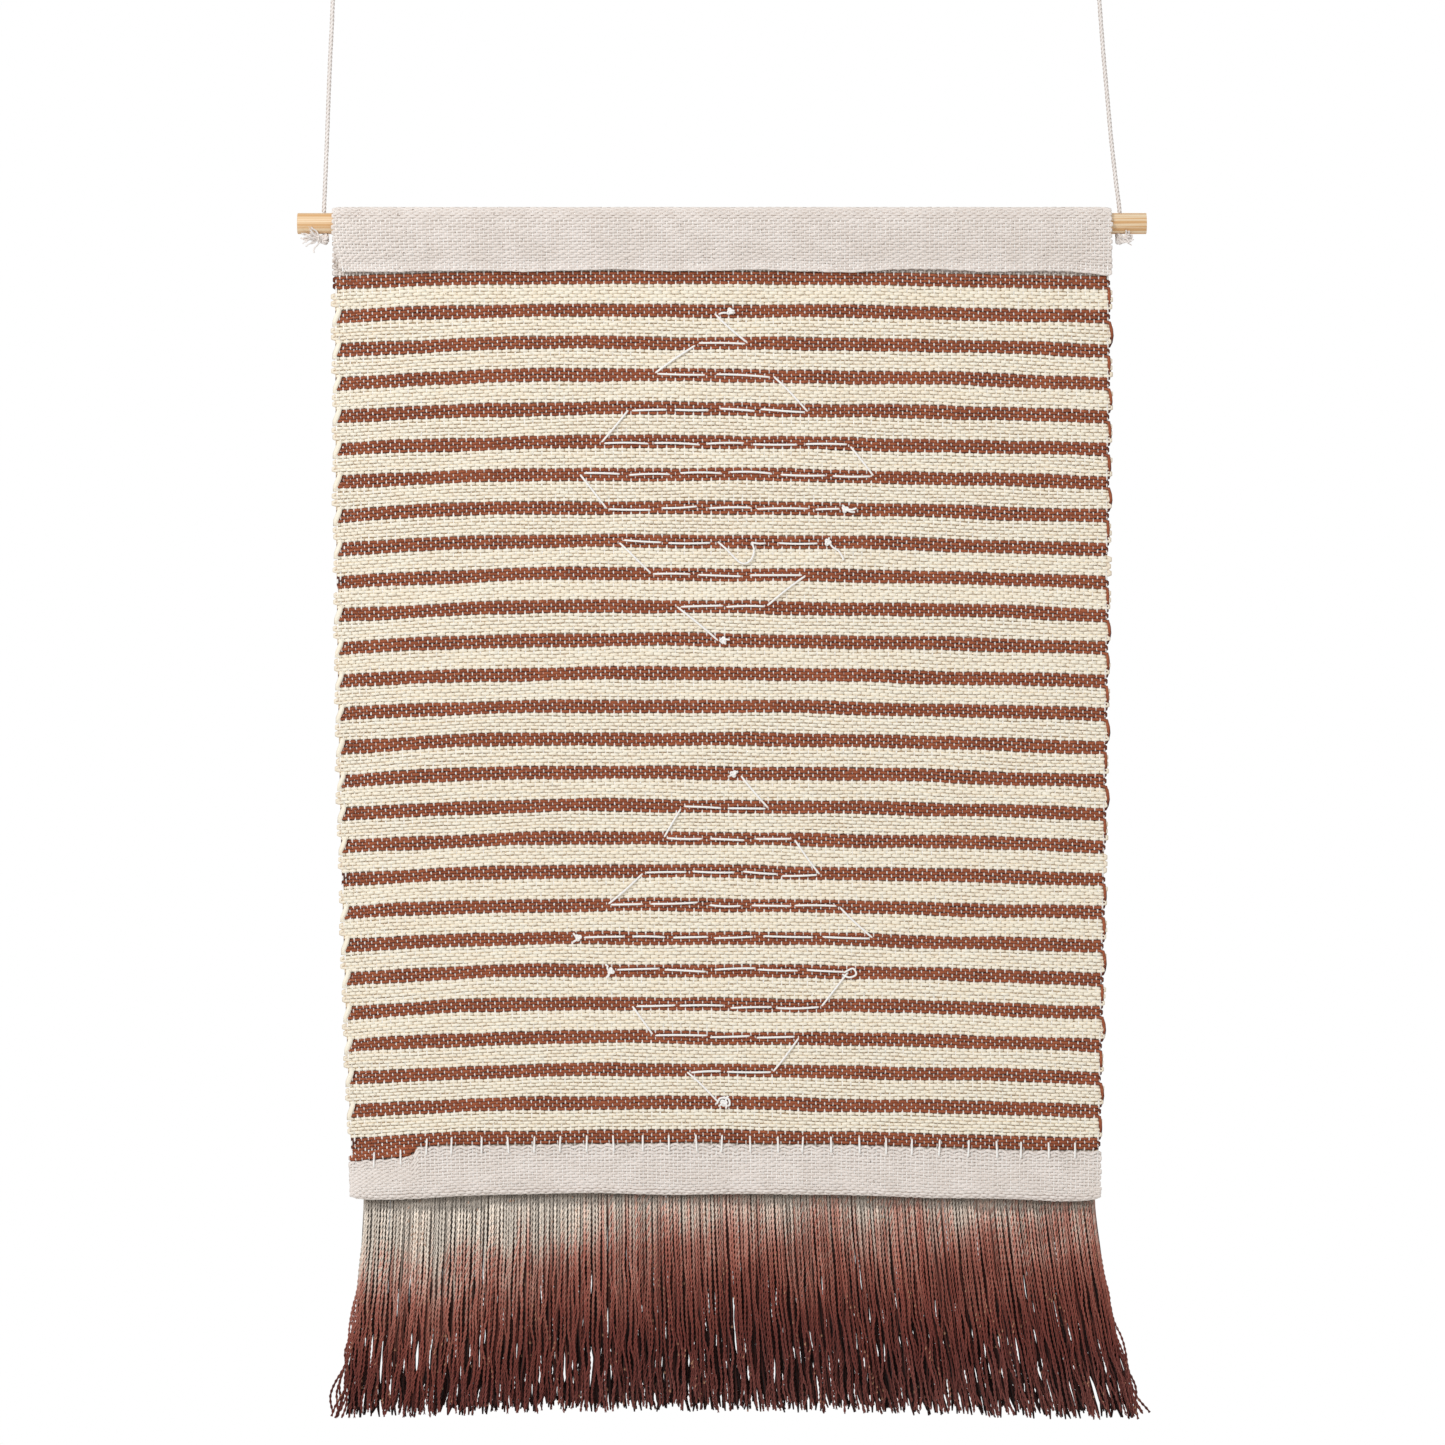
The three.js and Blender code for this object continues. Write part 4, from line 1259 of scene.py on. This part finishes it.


# %% [markdown]
# ## One group for all spun cotton
#
# The fibres are noise drawn out along the yarn, the patches are slow noise, and `Proud` compares a
# point's distance from the middle of the cloth with two lifts: it is the mask of the shade painted into the
# gaps. A material picks its tones and lifts.

# %% Spun cotton group
def spun_cotton_group():
    tree, nodes, given, made = new_group(
        "spun_cotton",
        [("Fibre Scale", "NodeSocketFloat", 2600.0), ("Patch Scale", "NodeSocketFloat", 90.0),
         ("Stretch", "NodeSocketVector", (0.3, 1.0, 1.0)), ("Middle", "NodeSocketFloat", CLOTH_Y),
         ("Gap Lift", "NodeSocketFloat", 0.5 * MM), ("Top Lift", "NodeSocketFloat", 1.4 * MM)],
        [("Fibre", "NodeSocketFloat"), ("Patch", "NodeSocketFloat"), ("Proud", "NodeSocketFloat")])
    place = nodes.add("ShaderNodeTexCoord").outputs["Object"]
    drawn = nodes.add("ShaderNodeVectorMath", {0: place, 1: given.outputs["Stretch"]},
                      operation="MULTIPLY").outputs[0]
    y = nodes.add("ShaderNodeSeparateXYZ", {0: place}).outputs["Y"]
    lift = nodes.math("ABSOLUTE", nodes.math("SUBTRACT", y, given.outputs["Middle"]))
    nodes.feed(nodes.noise(drawn, given.outputs["Fibre Scale"], 3), made.inputs["Fibre"])
    nodes.feed(nodes.noise(place, given.outputs["Patch Scale"], 2), made.inputs["Patch"])
    # Proud is the mask of the painted shade: 0 deep in the cloth, where the shade is painted in, 1 on the
    # tops of the pillows.
    proud = nodes.mapped(lift, given.outputs["Gap Lift"], given.outputs["Top Lift"])
    nodes.feed(proud, made.inputs["Proud"])
    return tree


SPUN_COTTON = spun_cotton_group()
print("spun_cotton has", len(SPUN_COTTON.nodes), "nodes")


# %% [markdown]
# ## Terracotta, cream, greige and white yarn
#
# These differ only in tone, in how dark the shade painted into their gaps is and in which way the
# fibres run, so one function makes them all.

# %% Yarn materials
def start_material(name):
    material = bpy.data.materials.new(name)
    material.use_nodes = True
    nodes = Nodes(material.node_tree)
    return material, nodes, material.node_tree.nodes["Principled BSDF"]


def yarn_material(name, light, dark, gap_shade, fleck, fleck_share, middle=CLOTH_Y, gap_lift=0.5 * MM,
                  top_lift=1.4 * MM, stretch=(0.3, 1, 1), bump=0.35):
    """Spun cotton between a light and a dark tone, with shade painted into its gaps and a few coloured
    flecks.
    """
    material, nodes, shader = start_material(name)
    cotton = nodes.add("ShaderNodeGroup", node_tree=SPUN_COTTON)
    for key, value in (("Stretch", stretch), ("Middle", middle), ("Gap Lift", gap_lift),
                       ("Top Lift", top_lift)):
        cotton.inputs[key].default_value = value
    fibre, patch, proud = (cotton.outputs[key] for key in ("Fibre", "Patch", "Proud"))
    shade = nodes.math("ADD", nodes.mapped(fibre, 0.3, 0.7, 0, 0.6), nodes.mapped(patch, 0.35, 0.65, 0, 0.4))
    yarn = nodes.mix(shade, colour(*dark), colour(*light))
    place = nodes.add("ShaderNodeTexCoord").outputs["Object"]
    spots = nodes.noise(place, 620.0, 1)
    flecked = nodes.mix(nodes.mapped(spots, 0.80 - fleck_share, 0.84 - fleck_share), yarn, colour(*fleck))
    # Painted shade: where the yarn lies deep in the cloth its colour turns to the darker gap tone.
    nodes.feed(nodes.mix(proud, colour(*gap_shade), flecked), shader.inputs["Base Color"])
    nodes.feed(nodes.mapped(fibre, 0, 1, 0.98, 0.82), shader.inputs["Roughness"])
    relief = nodes.add("ShaderNodeBump", {"Height": fibre, "Strength": bump, "Distance": 0.25 * MM})
    nodes.feed(relief.outputs[0], shader.inputs["Normal"])
    shader.inputs["Sheen Weight"].default_value = 0.12
    shader.inputs["Specular IOR Level"].default_value = 0.2
    return material


# The fourth colour of each yarn is the shade painted into its gaps. For the cord and its knots the middle is
# the plane the cord runs in.
terracotta_yarn = yarn_material("terracotta_yarn", (177, 101, 68), (141, 75, 49), (74, 30, 20),
                                (196, 128, 96), 0.10)
cream_yarn = yarn_material("cream_yarn", (255, 250, 235), (254, 242, 220), (232, 213, 186),
                           (186, 158, 126), 0.03, gap_lift=0.2 * MM, top_lift=1.2 * MM)
greige_yarn = yarn_material("greige_yarn", (246, 238, 232), (231, 221, 213), (172, 156, 145),
                            (150, 134, 124), 0.07, gap_lift=0.0, top_lift=0.8 * MM)
warp_yarn = yarn_material("warp_yarn", (255, 254, 252), (252, 248, 243), (244, 236, 226),
                          (226, 214, 200), 0.02, stretch=(1, 1, 0.3), gap_lift=0.2 * MM, top_lift=0.9 * MM)
white_thread = yarn_material("white_thread", (255, 254, 252), (250, 247, 243), (244, 239, 233),
                             (220, 212, 204), 0.02, gap_lift=1 * MM, top_lift=2 * MM)
cotton_cord = yarn_material("cotton_cord", (252, 247, 243), (238, 230, 225), (196, 184, 176),
                            (208, 196, 188), 0.03, middle=0.0, gap_lift=0.2 * MM, top_lift=1.1 * MM,
                            stretch=(1, 1, 0.4))

for piece in terracotta_weft + [short_rows]:
    piece.data.materials.append(terracotta_yarn)
for piece in cream_weft:
    piece.data.materials.append(cream_yarn)
for piece in (sleeve, hem, tape):
    piece.data.materials.append(greige_yarn)
warp.data.materials.append(warp_yarn)
for piece in [whip_stitches, sleeve_seam, tape_seam] + diamonds:
    piece.data.materials.append(white_thread)
for piece in [cord] + knots:
    piece.data.materials.append(cotton_cord)


# %% [markdown]
# ## Hairs in the gaps, and their painted shade
#
# The ground is only seen between the yarns, so it is painted a darker tone of the yarn over it, as the
# shade that lies in the gaps, from the `band` value that each of its points holds.

# %% Ground material
def ground_material():
    """The hairs in the gaps with their shade painted in: a darker greige, cream or terracotta than the yarns
    over them.
    """
    material, nodes, shader = start_material("ground_hair_and_gap_shade")
    band = nodes.add("ShaderNodeAttribute", attribute_name="band").outputs["Fac"]
    cotton = nodes.add("ShaderNodeGroup", node_tree=SPUN_COTTON)
    # Painted shade: each tone is darker than the yarn over it, and under terracotta much darker.
    pale = nodes.mix(nodes.mapped(band, 0.1, 0.4), colour(224, 214, 206), colour(214, 194, 166))
    tint = nodes.mix(nodes.mapped(band, 0.6, 0.9), pale, colour(92, 44, 31))
    lively = nodes.mapped(cotton.outputs["Fibre"], 0.3, 0.7, 0.8, 1.1)
    hair_and_gap_shade = nodes.add("ShaderNodeVectorMath", {0: tint, 3: lively}, operation="SCALE").outputs[0]
    nodes.feed(hair_and_gap_shade, shader.inputs["Base Color"])
    relief = nodes.add("ShaderNodeBump", {"Height": cotton.outputs["Fibre"], "Strength": 0.3,
                                          "Distance": 0.2 * MM})
    nodes.feed(relief.outputs[0], shader.inputs["Normal"])
    shader.inputs["Roughness"].default_value = 0.95
    return material


ground.data.materials.append(ground_material())


# %% [markdown]
# ## Dip-dyed fringe
#
# The fringe was dipped in dye from its ends, so the colour follows the height and not the yarn: nearly
# undyed at the top, rusty pink, then dark red-brown. The dye stood lower at the left, and each yarn
# took it up a little differently. The yarn's own `tone` value gives that difference, and `along`
# colours the cut tips, which stayed tan inside. Shade is painted in by each yarn's distance from the
# fringe's middle plane: the inner yarns darker, the outer ones a little brighter, and less shade just
# under the hem. All of it is read from where the yarn hangs at rest, so nothing slides when a section swings.

# %% Fringe material
def fringe_material():
    material, nodes, shader = start_material("fringe_yarn")
    place = nodes.add("ShaderNodeAttribute", attribute_name="rest").outputs["Vector"]
    parts = nodes.add("ShaderNodeSeparateXYZ", {0: place})
    tone = nodes.add("ShaderNodeAttribute", attribute_name="tone").outputs["Fac"]
    share = nodes.add("ShaderNodeAttribute", attribute_name="along").outputs["Fac"]
    down = nodes.add("ShaderNodeMapRange", {0: parts.outputs["Z"], 1: -0.695, 2: -0.818}).outputs[0]
    sideways = nodes.mapped(parts.outputs["X"], -0.17, -0.02, -0.17, 0.06)
    blotch = nodes.mapped(nodes.noise(place, 28.0, 2), 0.3, 0.7, -0.07, 0.07)
    own = nodes.math("MULTIPLY", nodes.math("SUBTRACT", tone, 0.5), 0.22)
    dye = nodes.math("ADD", nodes.math("ADD", down, sideways), nodes.math("ADD", blotch, own))
    ramp_node = nodes.add("ShaderNodeValToRGB", {0: dye})
    stops = [(0.0, (232, 221, 208)), (0.10, (226, 207, 192)), (0.22, (199, 152, 137)),
             (0.36, (166, 105, 91)), (0.55, (128, 69, 59)), (0.78, (104, 52, 46)), (1.0, (108, 61, 55))]
    stop_list = ramp_node.color_ramp.elements
    while len(stop_list) < len(stops):
        stop_list.new(0.5)
    for stop, (at, tint) in zip(stop_list, stops):
        stop.position = at
        stop.color = colour(*tint)
    fibre = nodes.noise(place, 1500.0, 2)
    # Painted shade and light: yarns near the fringe's middle plane are darkened down to about a sixth, the
    # outermost brightened a little, and just under the hem the shade is held lighter.
    proud = nodes.math("ABSOLUTE", nodes.math("SUBTRACT", parts.outputs["Y"], 0.5 * MM))
    painted_depth_shade = nodes.mapped(proud, 1.0 * MM, 3.3 * MM, 0.16, 1.2)
    under_hem = nodes.mapped(parts.outputs["Z"], -0.722, -0.700, 0.0, 0.62)
    uneven = nodes.math("MULTIPLY", nodes.math("ADD", nodes.math("MULTIPLY", tone, 0.5), 0.75),
                        nodes.mapped(fibre, 0.3, 0.7, 0.75, 1.2))
    lively = nodes.math("MULTIPLY", uneven, nodes.math("MAXIMUM", painted_depth_shade, under_hem))
    yarn = nodes.add("ShaderNodeVectorMath", {0: ramp_node.outputs[0], 3: lively},
                     operation="SCALE").outputs[0]
    tip = nodes.mapped(share, 0.985, 0.997)
    nodes.feed(nodes.mix(nodes.math("MULTIPLY", tip, 0.7), yarn, colour(196, 148, 118)),
               shader.inputs["Base Color"])
    relief = nodes.add("ShaderNodeBump", {"Height": fibre, "Strength": 0.3, "Distance": 0.2 * MM})
    nodes.feed(relief.outputs[0], shader.inputs["Normal"])
    shader.inputs["Roughness"].default_value = 0.85
    shader.inputs["Specular IOR Level"].default_value = 0.15
    shader.inputs["Sheen Weight"].default_value = 0.05
    return material


dyed_yarn = fringe_material()
for piece in fringe:
    piece.data.materials.append(dyed_yarn)


# %% [markdown]
# ## Pine
#
# Pine shows long streaks of soft pale wood and harder golden lines. The grain runs along the rod, so
# the noise is stretched a hundred times in X; the rings are bolder towards the right end.

# %% Pine material
def pine_material():
    material, nodes, shader = start_material("pine")
    place = nodes.add("ShaderNodeTexCoord").outputs["Object"]
    drawn = nodes.add("ShaderNodeVectorMath", {0: place, 1: (4.0, 520.0, 520.0)},
                      operation="MULTIPLY").outputs[0]
    streaks = nodes.noise(drawn, 1.0, 3, 0.6)
    fine = nodes.noise(drawn, 5.0, 2)
    x = nodes.add("ShaderNodeSeparateXYZ", {0: place}).outputs["X"]
    bold = nodes.mapped(x, 0.0, 0.22, 0.16, 0.04)
    low, high = nodes.math("SUBTRACT", 0.5, bold), nodes.math("ADD", 0.5, bold)
    grain = nodes.mapped(streaks, low, high)
    wood = nodes.mix(grain, colour(222, 176, 122), colour(250, 230, 196))
    wood = nodes.mix(nodes.mapped(fine, 0.35, 0.65, 0.0, 0.35), wood, colour(206, 152, 96))
    nodes.feed(wood, shader.inputs["Base Color"])
    nodes.feed(nodes.mapped(streaks, 0.2, 0.8, 0.62, 0.45), shader.inputs["Roughness"])
    relief = nodes.add("ShaderNodeBump", {"Height": fine, "Strength": 0.12, "Distance": 0.1 * MM})
    nodes.feed(relief.outputs[0], shader.inputs["Normal"])
    return material


dowel.data.materials.clear()
dowel.data.materials.append(pine_material())

# %% [markdown]
# The yarns have no area of their own to compare with the cut, so the cloth is declared by its
# ground.

# %% [markdown]
# ## Stage and light
#
# A plain pale floor well below the piece, a white surround, one large soft light from the upper left
# in front and a weaker one behind.

# %% Floor, surround and lights
def make_floor():
    mesh = bpy.data.meshes.new("floor")
    shape = bmesh.new()
    bmesh.ops.create_grid(shape, x_segments=1, y_segments=1, size=1.6)
    bmesh.ops.translate(shape, verts=shape.verts, vec=(0, 0, -1.2))
    shape.to_mesh(mesh)
    shape.free()
    floor = bpy.data.objects.new("floor", mesh)
    bpy.context.scene.collection.objects.link(floor)
    material, _, shader = start_material("floor")
    shader.inputs["Base Color"].default_value = (0.82, 0.81, 0.79, 1)
    shader.inputs["Roughness"].default_value = 0.9
    mesh.materials.append(material)


def make_surround(seen, ambient):
    world = bpy.data.worlds.new("surround")
    world.use_nodes = True
    nodes = Nodes(world.node_tree)
    straight = nodes.add("ShaderNodeLightPath").outputs["Is Camera Ray"]
    strength = nodes.add("ShaderNodeMapRange", {0: straight, 3: ambient, 4: seen}).outputs[0]
    background = world.node_tree.nodes["Background"]
    background.inputs["Color"].default_value = (1, 1, 1, 1)
    nodes.feed(strength, background.inputs["Strength"])
    bpy.context.scene.world = world


def soft_light(name, place, size, watts):
    lamp = bpy.data.lights.new(name, "AREA")
    lamp.size = size
    lamp.energy = watts
    light = bpy.data.objects.new(name, lamp)
    light.location = place
    light.rotation_euler = (VIEW_CENTRE - Vector(place)).to_track_quat("-Z", "Y").to_euler()
    bpy.context.scene.collection.objects.link(light)


make_floor()
make_surround(1.0, 0.62)
soft_light("key", (-1.3, -2.2, 1.1), 0.9, 38)
soft_light("back", (1.5, 2.4, 0.8), 1.2, 30)
bpy.context.scene.view_settings.view_transform = "Standard"
